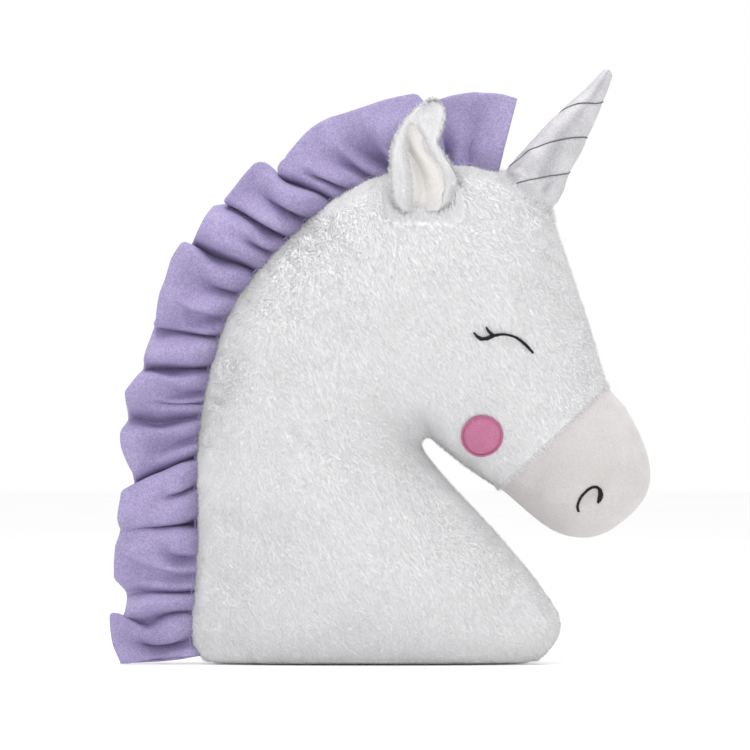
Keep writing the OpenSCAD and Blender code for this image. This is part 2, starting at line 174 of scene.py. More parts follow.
def bake_modifiers(obj):
    """Applies every modifier on obj and leaves none."""
    deps = bpy.context.evaluated_depsgraph_get()
    mesh = bpy.data.meshes.new_from_object(obj.evaluated_get(deps), depsgraph=deps)
    obj.modifiers.clear()
    old = obj.data
    obj.data = mesh
    bpy.data.meshes.remove(old)


def grid_faces(rows, cols, wrap_rows=False, wrap_cols=False, offset=0):
    faces = []
    for i in range(rows if wrap_rows else rows - 1):
        for j in range(cols if wrap_cols else cols - 1):
            a, b = i * cols + j, i * cols + (j + 1) % cols
            c, d = ((i + 1) % rows) * cols + (j + 1) % cols, ((i + 1) % rows) * cols + j
            faces.append((a + offset, b + offset, c + offset, d + offset))
    return faces


def closed_sheet(first, second):
    """A closed sheet from two grids of points, joined round their rim."""
    rows, cols, _ = first.shape
    faces = [f[::-1] for f in grid_faces(rows, cols)] + grid_faces(rows, cols, offset=rows * cols)
    rim = ([(0, j) for j in range(cols)] + [(i, cols - 1) for i in range(1, rows)]
           + [(rows - 1, j) for j in range(cols - 2, -1, -1)] + [(i, 0) for i in range(rows - 2, 0, -1)])
    ids = [i * cols + j for i, j in rim]
    for a, b in zip(ids, ids[1:] + ids[:1]):
        faces.append((a, b, b + rows * cols, a + rows * cols))
    return np.concatenate([first.reshape(-1, 3), second.reshape(-1, 3)]), faces


def tube(path, radius, sides=8, closed=False):
    """Points and faces of a round tube along a path; radius may be one number or one for each point."""
    path = np.asarray(path, float)
    n = len(path)
    if closed:
        tangent = unit(np.roll(path, -1, 0) - np.roll(path, 1, 0))
    else:
        tangent = unit(np.gradient(path, axis=0))
    radius = np.broadcast_to(np.asarray(radius, float), n)
    side = np.cross(tangent, [0.13, 1, 0.07])
    side = unit(side)
    other = np.cross(tangent, side)
    angle = np.arange(sides) * 2 * math.pi / sides
    ring = side[:, None] * np.cos(angle)[None, :, None] + other[:, None] * np.sin(angle)[None, :, None]
    verts = (path[:, None] + ring * radius[:, None, None]).reshape(-1, 3)
    faces = grid_faces(n, sides, wrap_rows=closed, wrap_cols=True)
    if not closed:
        faces += [tuple(range(sides))[::-1], tuple(range((n - 1) * sides, n * sides))]
    return verts, faces


def join(parts):
    """One list of points and faces from several."""
    verts, faces, count = [], [], 0
    for v, f in parts:
        verts.append(np.asarray(v))
        faces += [tuple(i + count for i in face) for face in f]
        count += len(v)
    return np.concatenate(verts), faces


# ---------- materials ----------

class Shade:
    """A small helper that builds a node material round a Principled shader."""

    def __init__(self, name, color, roughness=0.9, **sockets):
        self.mat = bpy.data.materials.new(name)
        self.mat.use_nodes = True
        self.tree = self.mat.node_tree
        self.bsdf = self.tree.nodes["Principled BSDF"]
        self.bsdf.inputs["Base Color"].default_value = (*color, 1)
        self.bsdf.inputs["Roughness"].default_value = roughness
        for key, value in sockets.items():
            self.bsdf.inputs[key.replace("_", " ")].default_value = value
        self.coords = self.node("ShaderNodeTexCoord").outputs["Object"]

    def node(self, kind, **values):
        n = self.tree.nodes.new(kind)
        for key, value in values.items():
            setattr(n, key, value)
        return n

    def link(self, a, b):
        self.tree.links.new(a, b)

    def noise(self, scale, detail=3, rough=0.55, stretch=None, strands=None):
        """Noise in space. stretch scales its axes; strands draws it out that many times as the pile lies."""
        n = self.node("ShaderNodeTexNoise")
        n.inputs["Scale"].default_value = scale
        n.inputs["Detail"].default_value = detail
        n.inputs["Roughness"].default_value = rough
        source = self.coords
        if stretch:
            m = self.node("ShaderNodeMapping")
            m.inputs["Scale"].default_value = stretch
            self.link(source, m.inputs["Vector"])
            source = m.outputs["Vector"]
        if strands:
            m = self.node("ShaderNodeMapping", vector_type="TEXTURE")
            m.inputs["Rotation"].default_value = (0, math.atan2(-COMBED[0], -COMBED[2]), 0)
            m.inputs["Scale"].default_value = (1, 1, strands)
            self.link(source, m.inputs["Vector"])
            source = m.outputs["Vector"]
        self.link(source, n.inputs["Vector"])
        return n.outputs["Fac"]

    def ramp(self, fac, stops):
        n = self.node("ShaderNodeValToRGB")
        ramp = n.color_ramp
        while len(ramp.elements) < len(stops):
            ramp.elements.new(0.5)
        for e, (place, color) in zip(ramp.elements, stops):
            e.position = place
            e.color = (*color, 1)
        self.link(fac, n.inputs["Fac"])
        return n.outputs["Color"]

    def mix(self, fac, a, b, mode="MIX"):
        n = self.node("ShaderNodeMix", data_type="RGBA", blend_type=mode)
        for value, key in ((fac, 0), (a, 6), (b, 7)):
            if isinstance(value, (int, float)):
                n.inputs[key].default_value = value
            elif isinstance(value, tuple):
                n.inputs[key].default_value = (*value, 1)
            else:
                self.link(value, n.inputs[key])
        return n.outputs[2]

    def color(self, socket):
        self.link(socket, self.bsdf.inputs["Base Color"])

    def roughness(self, fac, low, high):
        n = self.node("ShaderNodeMapRange")
        n.inputs["To Min"].default_value = low
        n.inputs["To Max"].default_value = high
        self.link(fac, n.inputs["Value"])
        self.link(n.outputs["Result"], self.bsdf.inputs["Roughness"])

    def bump(self, height, distance, strength=1.0, below=None):
        n = self.node("ShaderNodeBump")
        n.inputs["Distance"].default_value = distance
        n.inputs["Strength"].default_value = strength
        self.link(height, n.inputs["Height"])
        if below:
            self.link(below, n.inputs["Normal"])
        self.link(n.outputs["Normal"], self.bsdf.inputs["Normal"])
        return n.outputs["Normal"]

    def attribute(self, name):
        n = self.node("ShaderNodeAttribute", attribute_name=name)
        return n.outputs["Fac"]


def darker(color, share):
    return tuple(c * share for c in color)


def fleece_material(name, color, tufted):
    m = Shade(name, color, 0.95, Sheen_Weight=0.75 if tufted else 0.25, Sheen_Roughness=0.4)
    patches = m.noise(22, 4)
    curls = m.noise(800, 3, 0.6, strands=4)
    tint = m.ramp(patches, [(0.3, darker(color, 0.965)), (0.7, color)])
    if tufted:
        # painted shade: the pile is darker towards the roots of its locks, as shade falls down in the pile;
        # the depth attribute also carries a random tone for each lock
        depth = m.ramp(m.attribute("depth"), [(0.0, (0.80, 0.80, 0.81)), (0.9, (1, 1, 1))])
        tint = m.mix(1.0, tint, depth, "MULTIPLY")
    else:
        tint = m.mix(0.6, tint, m.ramp(curls, [(0.35, darker(color, 0.8)), (0.6, color)]))
    m.color(tint)
    m.bump(curls, 0.0008, 0.5)
    return m.mat


def velour_material(name, color, bright, grain=900, patchy=0.9, speckle=0.35):
    m = Shade(name, color, 0.85, Sheen_Weight=0.45, Sheen_Roughness=0.35)
    m.bsdf.inputs["Sheen Tint"].default_value = (*bright, 1)
    nap = m.noise(70, 4, 0.6)
    grit = m.noise(grain, 3, 0.7)
    # painted sheen and shade: where the nap and grit noises rise (raised in the bump too) the colour goes
    # towards bright, the sheen tint, and where they fall it goes darker
    lit = tuple(0.5 * (a + b) for a, b in zip(color, bright))
    tint = m.ramp(nap, [(0.3, darker(color, patchy)), (0.55, color), (0.75, lit)])
    tint = m.mix(speckle, tint, m.ramp(grit, [(0.35, darker(color, 0.72)), (0.65, bright)]))
    m.color(tint)
    first = m.bump(nap, 0.0008, 0.5)
    m.bump(grit, 0.0005, 0.8, first)
    return m.mat


def thread_material(name, color, rough=0.5):
    m = Shade(name, color, rough, Sheen_Weight=0.15, Sheen_Roughness=0.3)
    fibre = m.noise(1800, 3, 0.6, stretch=(1, 1, 0.4))
    m.color(m.ramp(fibre, [(0.3, darker(color, 0.7)), (0.7, tuple(min(1, c * 1.25 + 0.01) for c in color))]))
    m.roughness(fibre, rough - 0.1, rough + 0.15)
    m.bump(fibre, 0.0002, 0.7)
    if max(color) < 0.02:
        m.bsdf.inputs["Sheen Weight"].default_value = 0.0
        m.bsdf.inputs["Specular IOR Level"].default_value = 0.2
    return m.mat


def foil_material():
    base = (0.54, 0.53, 0.55)
    m = Shade("silver_foil", base, 0.6, Metallic=0.5)
    m.bsdf.inputs["Specular Tint"].default_value = (0.5, 0.5, 0.52, 1)
    weave = m.node("ShaderNodeTexVoronoi", feature="SMOOTH_F1")
    weave.inputs["Scale"].default_value = 900
    m.link(m.coords, weave.inputs["Vector"])
    grain = m.noise(1300, 3, 0.7)
    folds = m.noise(38, 5, 0.6)
    # painted fold shade and highlight: the colour is darker where the fold noise is low and lighter where it
    # is high, as is the fold bump
    tint = m.ramp(folds, [(0.35, darker(base, 0.88)), (0.5, base), (0.66, (0.66, 0.645, 0.66))])
    tint = m.mix(0.55, tint, m.ramp(grain, [(0.35, darker(base, 0.66)), (0.65, (0.74, 0.73, 0.75))]))
    # painted shade and reflection: a darker band along the furrow up the front of the horn; the patches near
    # the foot are random darker mottling
    furrow_shade_and_foot_patches = m.ramp(m.attribute("furrow_shade_and_foot_patches"), [(0.0, (1, 1, 1)), (1.0, (0.72, 0.72, 0.75))])
    m.color(m.mix(1.0, tint, furrow_shade_and_foot_patches, "MULTIPLY"))
    m.roughness(grain, 0.58, 0.8)
    first = m.bump(folds, 0.0008, 0.5)
    second = m.bump(weave.outputs["Distance"], 0.0003, 0.6, first)
    m.bump(grain, 0.0003, 0.5, second)
    return m.mat


def satin_material():
    color = (0.80, 0.80, 0.81)
    m = Shade("satin_ribbon", color, 0.32, Sheen_Weight=0.2)
    ribs = m.noise(1500, 2, 0.5, stretch=(1, 0.1, 1))
    m.color(m.ramp(ribs, [(0.3, darker(color, 0.9)), (0.7, color)]))
    m.bump(ribs, 0.0002, 0.5)
    return m.mat


WHITE = (0.82, 0.82, 0.83)
fleece = fleece_material("fleece_backing", WHITE, False)
pile_white = fleece_material("fleece_pile", (0.85, 0.85, 0.86), True)
muzzle_velour = velour_material("muzzle_velour", (0.54, 0.518, 0.512), (0.625, 0.60, 0.595), patchy=0.965)
lining_velour = velour_material("ear_lining_velour", (0.63, 0.61, 0.59), (0.71, 0.695, 0.675), patchy=0.97)
lilac_velour = velour_material("lilac_velour", (0.30, 0.25, 0.46), (0.50, 0.45, 0.65), 800, 0.86, 0.5)
pink_velour = velour_material("pink_velour", (0.50, 0.155, 0.285), (0.60, 0.25, 0.38))
pink_thread = thread_material("pink_thread", (0.50, 0.14, 0.27))
black_thread = thread_material("black_thread", (0.006, 0.006, 0.008), 0.6)
grey_cord = thread_material("grey_cord", (0.11, 0.11, 0.12), 0.5)
white_thread = thread_material("white_thread", (0.78, 0.78, 0.79), 0.6)
lilac_thread = thread_material("lilac_thread", (0.36, 0.30, 0.56), 0.6)
satin = satin_material()
foil = foil_material()


# ---------- the stuffed body ----------

def drawn_body():
    """The closed drawn skin, as rings of points from the base to the tip of the muzzle."""
    ribs = np.linspace(0, LAST_RIB, 24 * 6 + 1)
    across = np.sin(np.linspace(-0.5, 0.5, 41) * math.pi)
    rings = []
    for u in ribs:
        one = np.full(len(across), u)
        rings.append(np.concatenate([skin(one, across, FRONT), skin(one, across[::-1], BACK)[1:-1]]))
    foot = (rings[0] - BASE_MIDDLE) * [0.985, 0.97, 0] + BASE_MIDDLE
    foot[:, 2] = REST_Z
    rings = [foot] + rings
    m = len(rings[0])
    faces = grid_faces(len(rings), m, wrap_cols=True)
    faces += [tuple(range(m))[::-1], tuple(range((len(rings) - 1) * m, len(rings) * m))]
    return np.concatenate(rings), faces


def puff(obj, frames, pressure, pins, cap, stiffness=12, slack=0.0):
    """Swells a closed cloth with air, then applies the result. pins holds a weight for each point."""
    before = points_of(obj)
    group = obj.vertex_groups.new(name="pins")
    for weight in (0.25, 0.5, 0.75, 1.0):
        chosen = np.nonzero((pins > weight - 0.25) & (pins <= weight))[0]
        group.add([int(i) for i in chosen], weight, "REPLACE")
    cloth = obj.modifiers.new("cloth", "CLOTH")
    s = cloth.settings
    s.quality = 6
    s.mass = 0.25
    s.tension_stiffness = s.compression_stiffness = stiffness
    s.shear_stiffness = stiffness / 3
    s.bending_stiffness = 0.4
    s.use_pressure = True
    s.uniform_pressure_force = pressure
    s.vertex_group_mass = "pins"
    s.pin_stiffness = 1.0
    s.shrink_min = -slack
    s.effector_weights.gravity = 0
    cloth.collision_settings.use_collision = False
    cloth.point_cache.frame_start = 1
    cloth.point_cache.frame_end = frames
    scene = bpy.context.scene
    for f in range(1, frames + 1):
        scene.frame_set(f)
    bake_modifiers(obj)
    scene.frame_set(1)
    obj.vertex_groups.clear()
    after = points_of(obj)
    move = after - before
    size = np.linalg.norm(move, axis=1, keepdims=True)
    set_points(obj, before + move * np.minimum(1, cap / np.maximum(size, 1e-6)))


def outline_distance(p):
    """How far each point lies from the sewn outline, measured flat in X and Z."""
    u = np.linspace(0, LAST_RIB, 400)
    edge = np.concatenate([through(CROWN_EDGE, u), through(THROAT_EDGE, u)])
    flat = p[:, [0, 2]]
    best = np.full(len(p), 1e9)
    for chunk in np.array_split(edge, 20):
        d = np.linalg.norm(flat[:, None] - chunk[None], axis=2).min(axis=1)
        best = np.minimum(best, d)
    return best


def rib_plane(u):
    """The plane through rib u and along Y, as a point and a normal towards the muzzle."""
    a, b = through(CROWN_EDGE, u)[0], through(THROAT_EDGE, u)[0]
    along = unit(b - a)
    across = np.array([-along[1], 0, along[0]])
    ahead = through(CROWN_EDGE, u + 1)[0] - a
    if ahead @ across[[0, 2]] < 0:
        across = -across
    return (a[0], 0, a[1]), across


CREASE = [(30, 160), (14, 172), (-4, 188), (-24, 205)]     # from the throat's notch up into the neck, x and z


def along_crease(p):
    """How far along the crease each point lies, 0 to 1, and its distance to either side of it."""
    t = np.linspace(0, len(CREASE) - 1, 60)
    line = through(CREASE, t)
    flat = p[:, [0, 2]]
    d = flat[:, None] - line[None]
    i = np.linalg.norm(d, axis=2).argmin(axis=1)
    tangent = unit(np.gradient(line, axis=0))
    side = tangent[i, 0] * d[np.arange(len(p)), i, 1] - tangent[i, 1] * d[np.arange(len(p)), i, 0]
    return i / (len(t) - 1), side, np.linalg.norm(d[np.arange(len(p)), i], axis=1)


def sculpt_body(obj):
    """Folds and hollows that sewing and stuffing leave: a crease behind the jaw, puckers, lumps."""
    p = points_of(obj)
    n = normals_of(obj)
    edge = outline_distance(p)
    place, side, away = along_crease(p)
    fade = (1 - place) ** 0.8
    face = smooth(np.abs(p[:, 1]), 6, 25)
    dip = -4.5 * fade * np.exp(-(away / 12) ** 2) * face
    # the jaw side, which lies to the right of the crease as it climbs, bulges over the neck
    jaw = 4.0 * fade * np.exp(-((away - 17) / 12) ** 2) * (side < 0) * face
    lumps = 0.9 * Noise(3, 95)(p) + 0.35 * Noise(4, 38)(p)
    # short puckers that run in from the seam
    pucker = 0.8 * Noise(5, 16)(p * [1, 0.15, 1]) * np.exp(-(edge / 14) ** 2) * smooth(edge, 1, 5)
    a, across = rib_plane(MUZZLE_RIB)
    seam = (p - a) @ across
    on_muzzle = p[:, 2] > chin_line(p[:, 0])
    dip = dip - 0.7 * np.exp(-(seam / 2.6) ** 2) * on_muzzle * smooth(edge, 2, 9)
    dip = dip - 0.8 * smooth(seam, 0, 6) * on_muzzle * smooth(edge, 2, 9) * (1 - smooth(seam, 12, 40))
    hold = smooth(edge, 0, 12) * smooth(p[:, 2], 3, 22)
    move = dip + jaw + lumps * hold + pucker * smooth(p[:, 2], 3, 22)
    p = p + n * move[:, None]
    # the chest is full above the base, and the corner under it is pulled round
    x, z = p[:, 0].copy(), p[:, 2].copy()
    p[:, 0] += 2.0 * np.exp(-((z - 27) / 14) ** 2) * smooth(x, 70, 118)
    p[:, 0] -= 4.0 * (1 - smooth(z, 0, 10)) * smooth(x, 90, 113)
    p[:, 0] += 4.0 * (1 - smooth(z, 0, 10)) * (1 - smooth(x, -128, -108))
    set_points(obj, p)


def make_body():
    body = new_mesh("whole_body", *drawn_body())
    # a slightly smaller start, because the air swells it
    p = points_of(body)
    p[:, 1] *= 0.95
    set_points(body, p)
    remesh = body.modifiers.new("remesh", "REMESH")
    remesh.mode = "VOXEL"
    remesh.voxel_size = 4.5 * MM
    remesh.use_smooth_shade = True
    bake_modifiers(body)
    p = points_of(body)
    edge = outline_distance(p)
    pins = np.maximum(1 - smooth(edge, 2, 9), 1 - smooth(p[:, 2], 4, 12))
    puff(body, 20, 4, pins, 9, slack=0.02)
    sculpt_body(body)
    sub = body.modifiers.new("smoother", "SUBSURF")
    sub.levels = 1
    bake_modifiers(body)
    p = points_of(body)
    p[:, 2] = np.maximum(p[:, 2], REST_Z)
    set_points(body, p)
    return body


def chin_line(x):
    """The height of a line through the gap under the jaw: the chest lies below it and the jaw above."""
    return 157 - 0.73 * (x - 27)


def panel_of(x, y, z):
    """Which sewn panel the point belongs to."""
    if z < BASE_SEAM_Z:
        return "base"
    a, across = rib_plane(MUZZLE_RIB)
    ahead = (x - a[0]) * across[0] + (z - a[2]) * across[2]
    face = "front" if y < 0 else "back"
    return face + ("_muzzle" if ahead > 0 and z > chin_line(x) else "_head")


def cut_panels(source):
    """Cuts the body along its seams and returns one object for each panel."""
    bm = bmesh.new()
    bm.from_mesh(source.data)
    a, across = rib_plane(MUZZLE_RIB)
    for point, normal in (((0, 0, 0), (0, 1, 0)), (a, across), ((0, 0, BASE_SEAM_Z), (0, 0, 1))):
        geometry = bm.verts[:] + bm.edges[:] + bm.faces[:]
        bmesh.ops.bisect_plane(
            bm, geom=geometry, plane_co=Vector(point) * MM, plane_no=Vector(normal), dist=1e-7)
    bm.verts.ensure_lookup_table()
    groups = {}
    for face in bm.faces:
        groups.setdefault(panel_of(*(face.calc_center_median() / MM)), []).append(face)
    panels = {}
    for name, faces in groups.items():
        index = {}
        verts = []
        for face in faces:
            for v in face.verts:
                if v.index not in index:
                    index[v.index] = len(verts)
                    verts.append(np.array(v.co) / MM)
        panels[name] = new_mesh(name + "_cloth", verts, [[index[v.index] for v in f.verts] for f in faces])
    bm.free()
    return panels


class Surface:
    """Finds points on the finished body, for whatever is sewn on it."""

    def __init__(self, obj):
        mesh = obj.data
        self.tree = BVHTree.FromPolygons([v.co for v in mesh.vertices], [p.vertices for p in mesh.polygons])

    def face_point(self, x, z, side):
        """The point of the front or back face at x, z, and its outward normal."""
        start = Vector((x * MM, side * 0.2, z * MM))
        hit, normal, _, _ = self.tree.ray_cast(start, Vector((0, -side, 0)))
        if hit is None:
            hit, normal, _, _ = self.tree.find_nearest(Vector((x * MM, side * 0.02, z * MM)))
        normal = np.array(normal)
        if normal[1] * side < 0:
            normal = -normal
        return np.array(hit) / MM, normal

    def nearest(self, p):
        hit, normal, _, _ = self.tree.find_nearest(Vector(np.asarray(p) * MM))
        return np.array(hit) / MM, np.array(normal)


# ---------- pile ----------

def scatter(obj, spacing, seed, keep=None):
    """Evenly jittered points over a mesh, with normals. keep gives the chance of each point to stay."""
    mesh = obj.data
    mesh.calc_loop_triangles()
    tri = np.empty(len(mesh.loop_triangles) * 3, int)
    mesh.loop_triangles.foreach_get("vertices", tri)
    tri = tri.reshape(-1, 3)
    p, n = points_of(obj), normals_of(obj)
    a, b, c = p[tri[:, 0]], p[tri[:, 1]], p[tri[:, 2]]
    area = np.linalg.norm(np.cross(b - a, c - a), axis=1) / 2
    rng = np.random.default_rng(seed)
    total = np.cumsum(area) / (spacing * spacing)
    count = int(total[-1])
    picks = np.searchsorted(total, np.arange(count) + rng.uniform(0.0, 1.0, count))
    picks = np.minimum(picks, len(tri) - 1)
    r1, r2 = np.sqrt(rng.uniform(size=count)), rng.uniform(size=count)
    w = np.column_stack([1 - r1, r1 * (1 - r2), r1 * r2])
    q = np.einsum("ij,ijk->ik", w, p[tri[picks]])
    m = unit(np.einsum("ij,ijk->ik", w, n[tri[picks]]))
    if keep is not None:
        stay = rng.uniform(size=count) < keep(q, m)
        q, m = q[stay], m[stay]
    return q, m


def pile(name, places, normals, length, width, lean, seed, material, comb=COMBED, soft=None):
    """Short tapered locks of pile, combed in a direction that swirls a little from place to place.

    soft is added to the directions that the locks take their light from.
    """
    rng = np.random.default_rng(seed)
    count = len(places)
    swirls = [Noise(seed + i, 60, 10)(places) for i in range(3)]
    drift = np.asarray(comb, float) + 0.22 * np.column_stack(swirls)
    drift += rng.normal(scale=0.15, size=(count, 3))
    drift = unit(drift - (drift * normals).sum(1, keepdims=True) * normals)
    size = np.asarray(length) * rng.uniform(0.65, 1.25, count)
    lift = np.clip(lean + rng.normal(scale=0.2, size=count), 0.2, 1.4)[:, None]
    across = unit(np.cross(normals, drift))
    direction = unit(normals * np.sin(lift) + drift * np.cos(lift))
    root = places - normals * 0.5
    tip = root + direction * size[:, None]
    half = (width / 2 * rng.uniform(0.75, 1.3, count))[:, None]
    up = np.cross(drift, across)
    corners = [across, -0.5 * across + 0.8 * up, -0.5 * across - 0.8 * up]
    verts = np.stack([root + c * half for c in corners] + [tip], axis=1).reshape(-1, 3)
    verts[:, 2] = np.maximum(verts[:, 2], 0.4)
    base = np.arange(count) * 4
    sides = [np.stack([base + j, base + (j + 1) % 3, base + 3], 1) for j in range(3)]
    tris = np.concatenate(sides).astype(np.int32)
    mesh = bpy.data.meshes.new(name)
    mesh.vertices.add(len(verts))
    mesh.vertices.foreach_set("co", (verts * MM).ravel())
    mesh.loops.add(tris.size)
    mesh.loops.foreach_set("vertex_index", tris.ravel())
    mesh.polygons.add(len(tris))
    mesh.polygons.foreach_set("loop_start", np.arange(len(tris)) * 3)
    mesh.update(calc_edges=True)
    mesh.shade_smooth()
    # light falls on the pile as on the soft surface it makes, so each lock borrows the cloth's direction
    lit = normals if soft is None else unit(normals + soft)
    relief = (0.6 - 0.4 * smooth(normals[:, 2], 0.1, 0.6))[:, None]
    own = [c * relief + lit for c in corners] + [direction * 0.2 + lit]
    mesh.normals_split_custom_set_from_vertices(unit(np.stack(own, axis=1).reshape(-1, 3)).tolist())
    # painted shade: each lock is darker at its root than at its tip, for the shade down in the pile, with a
    # random tone for each lock added
    depth = mesh.attributes.new("depth", "FLOAT", "POINT")
    tone = rng.uniform(-0.3, 0.3, count)
    shade = np.stack([0.3 + tone, 0.3 + tone, 0.3 + tone, 0.85 + tone], 1)
    depth.data.foreach_set("value", np.clip(shade, 0, 1).ravel())
    mesh.materials.append(material)
    obj = bpy.data.objects.new(name, mesh)
    bpy.context.scene.collection.objects.link(obj)
    return obj


# ---------- embroidery ----------

# Each stroke is a list of x, z and width.
EYELID = [(69, 227.2, 2.2), (73.8, 227.8, 3.0), (78.4, 229.6, 2.4), (84.3, 230.5, 1.7), (90.1, 229.6, 1.6),
          (94.7, 227.5, 1.8), (98.2, 224.8, 2.1), (101.6, 221.6, 1.9), (105.2, 217.2, 1.3)]
OUTER_LASH = [(64.6, 231.6, 1.1), (66.6, 229.2, 2.0), (69.4, 227.4, 2.6)]
UPPER_LASH = [(73.2, 235.4, 1.0), (74.4, 233, 1.8), (77.8, 229.8, 2.3)]
NOSTRIL = [(137.4, 107.4, 1.5), (136.8, 111.4, 1.8), (138.8, 116.7, 1.7), (142.3, 120.9, 1.7),
           (145.7, 123.6, 1.8), (149.6, 124.4, 2.0), (152.4, 122.4, 2.6), (152.9, 119, 4.0),
           (152, 115.8, 3.4), (150.8, 113.4, 1.4)]
CHEEK = (70.8, 160.4)
CHEEK_R = 13.0
EDGING_W = 1.4


def stroke_curve(stroke, steps=14):
    return through(stroke, np.linspace(0, len(stroke) - 1, steps * (len(stroke) - 1) + 1))


def stitch(surface, ends, side, rise, arch, thread=0.42):
    """One thread laid from one end to the other over the cloth, as a flattened tube."""
    (x0, z0), (x1, z1) = ends
    path = []
    for q in np.linspace(0, 1, 6):
        p, n = surface.face_point(x0 + (x1 - x0) * q, z0 + (z1 - z0) * q, side)
        path.append(p + n * (rise + arch * math.sin(math.pi * q) ** 0.6 - 0.4 * (q in (0, 1))))
    return tube(path, thread * np.array([0.55, 1, 1, 1, 1, 0.55]), sides=6)


def satin_stroke(surface, stroke, side, rise, seed, pitch=0.62, slant=0.5):
    """Satin stitches laid side by side across a stroke."""
    rng = np.random.default_rng(seed)
    curve = stroke_curve(stroke, 24)
    run = np.concatenate([[0], np.cumsum(np.linalg.norm(np.diff(curve[:, :2], axis=0), axis=1))])
    tangent = unit(np.gradient(curve[:, :2], axis=0))
    parts = []
    for d in np.arange(0, run[-1], pitch):
        x, z, w = (np.interp(d, run, curve[:, i]) for i in range(3))
        t = np.array([np.interp(d, run, tangent[:, i]) for i in range(2)])
        over = unit(np.array([-t[1], t[0]]) + slant * t)
        half = w / 2 * rng.uniform(0.92, 1.12)
        c = np.array([x, z]) + rng.normal(scale=0.06, size=2)
        parts.append(stitch(surface, (c - over * half, c + over * half), side, rise, 0.45))
    return parts


def make_eye(surface, name, side):
    parts = []
    for i, stroke in enumerate((EYELID, OUTER_LASH, UPPER_LASH)):
        parts += satin_stroke(surface, stroke, side, 1.5 + 0.15 * i, 40 + i)
    obj = new_mesh(name + "_eye_stitching", *join(parts), black_thread)
    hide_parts(name + "_eye_embroidery")
    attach(obj, "head_and_neck")


def make_nostril(surface, name, side):
    stitches = satin_stroke(surface, NOSTRIL, side, 0.3, 50)
    obj = new_mesh(name + "_nostril_stitching", *join(stitches), black_thread)
    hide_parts(name + "_nostril_embroidery")
    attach(obj, "head_and_neck")


def make_cheek(surface, name, side):
    """A round velour patch that is a little crowned, with satin stitches laid outwards round its edge."""
    rings, spokes = 12, 72
    verts, faces = [], []
    centre, n = surface.face_point(*CHEEK, side)
    verts.append(centre + n * 1.9)
    for i in range(1, rings + 1):
        r = CHEEK_R * 1.03 * i / rings
        for j in range(spokes):
            a = 2 * math.pi * j / spokes
            p, n = surface.face_point(CHEEK[0] + r * math.cos(a), CHEEK[1] + r * math.sin(a), side)
            drop = smooth(r, CHEEK_R * 0.86, CHEEK_R * 1.03)
            verts.append(p + n * (1.9 - 1.1 * drop))
    for j in range(spokes):
        faces.append((0, 1 + j, 1 + (j + 1) % spokes))
    faces += grid_faces(rings, spokes, wrap_cols=True, offset=1)
    patch = new_mesh(name + "_cheek_velour", verts, faces, pink_velour)
    face_outwards(patch)
    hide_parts(name + "_cheek_patch")
    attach(patch, "head_and_neck")
    rng = np.random.default_rng(60)
    parts = []
    for a in np.arange(0, 2 * math.pi, 0.62 / CHEEK_R):
        out = np.array([math.cos(a), math.sin(a)])
        skew = np.array([-out[1], out[0]]) * 0.25
        inner = np.array(CHEEK) + out * (CHEEK_R - 0.1 + rng.uniform(-0.12, 0.12)) - skew
        outer = np.array(CHEEK) + out * (CHEEK_R + EDGING_W + rng.uniform(-0.12, 0.12)) + skew
        parts.append(stitch(surface, (inner, outer), side, 1.35, 0.45, 0.36))
    edging = new_mesh(name + "_cheek_stitching", *join(parts), pink_thread)
    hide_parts(name + "_cheek_edging")
    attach(edging, "head_and_neck")


def clear_of_stitching(q):
    """Where pile may stand on the face: not on the eye, the cheek patch or the nostril."""
    flat = q[:, [0, 2]]
    keep = np.ones(len(q))
    keep[np.linalg.norm(flat - np.array(CHEEK), axis=1) < CHEEK_R + EDGING_W - 0.7] = 0
    for stroke in (EYELID, OUTER_LASH, UPPER_LASH):
        curve = stroke_curve(stroke, 8)
        d = np.linalg.norm(flat[:, None] - curve[None, :, :2], axis=2) - curve[None, :, 2] / 2
        keep[d.min(axis=1) < -0.1] = 0
    return keep


def behind_muzzle_seam(q):
    """How far each point of the jaw lies behind the muzzle seam; far for points of the neck and chest."""
    a, across = rib_plane(MUZZLE_RIB)
    return np.where(q[:, 2] > chin_line(q[:, 0]), (np.asarray(a) - q) @ across, 99.0)


def by_ear_foot(q):
    """1 in the band under the ear's sewn edge and beside its lower half, and 0 away from it."""
    x, z = np.abs(q[:, 0] - EAR_FOOT[0] - 4), q[:, 2] - EAR_FOOT[2]
    under = (1 - smooth(x, 20, 27)) * (1 - smooth(np.abs(z + 3), 4, 8))
    beside = (1 - smooth(np.abs(x - 22), 4, 9)) * smooth(z, -10, -2) * (1 - smooth(z, 14, 28))
    return np.maximum(under, beside)


def by_horn_foot(q):
    """1 on the head close round the horn, and 0 away from it."""
    return 1 - smooth(np.linalg.norm(q - HORN_PIVOT, axis=1) - HORN_BASE_R, 2, 9)


def body_comb(q):
    """The pile lies forwards and down. It is brushed over the muzzle seam, and up against the ear."""
    across = rib_plane(MUZZLE_RIB)[1]
    seam = (1 - smooth(behind_muzzle_seam(q), 1, 10))[:, None]
    ear = by_ear_foot(q)[:, None]
    horn = by_horn_foot(q)[:, None]
    plain = COMBED * (1 - seam) * (1 - ear) * (1 - horn)
    return plain + 1.6 * across * seam + np.array([0, 0, 1.0]) * ear + 1.5 * HORN_AXIS * horn


def make_muzzle_stitches(surface, name, side):
    """Short stitches down in the muzzle seam, mostly hidden by the pile brushed over it."""
    a, b = through(CROWN_EDGE, MUZZLE_RIB)[0], through(THROAT_EDGE, MUZZLE_RIB)[0]
    count = 26
    parts = []
    for i in range(count):
        start, stop = ((i + share) / count * 0.92 + 0.04 for share in (0.15, 0.85))
        parts.append(stitch(surface, (a + (b - a) * start, a + (b - a) * stop), side, -0.1, 0.3, 0.3))
    obj = new_mesh(name + "_muzzle_stitches", *join(parts), white_thread)
    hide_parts(name + "_muzzle_seam_thread")
    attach(obj, "head_and_neck")


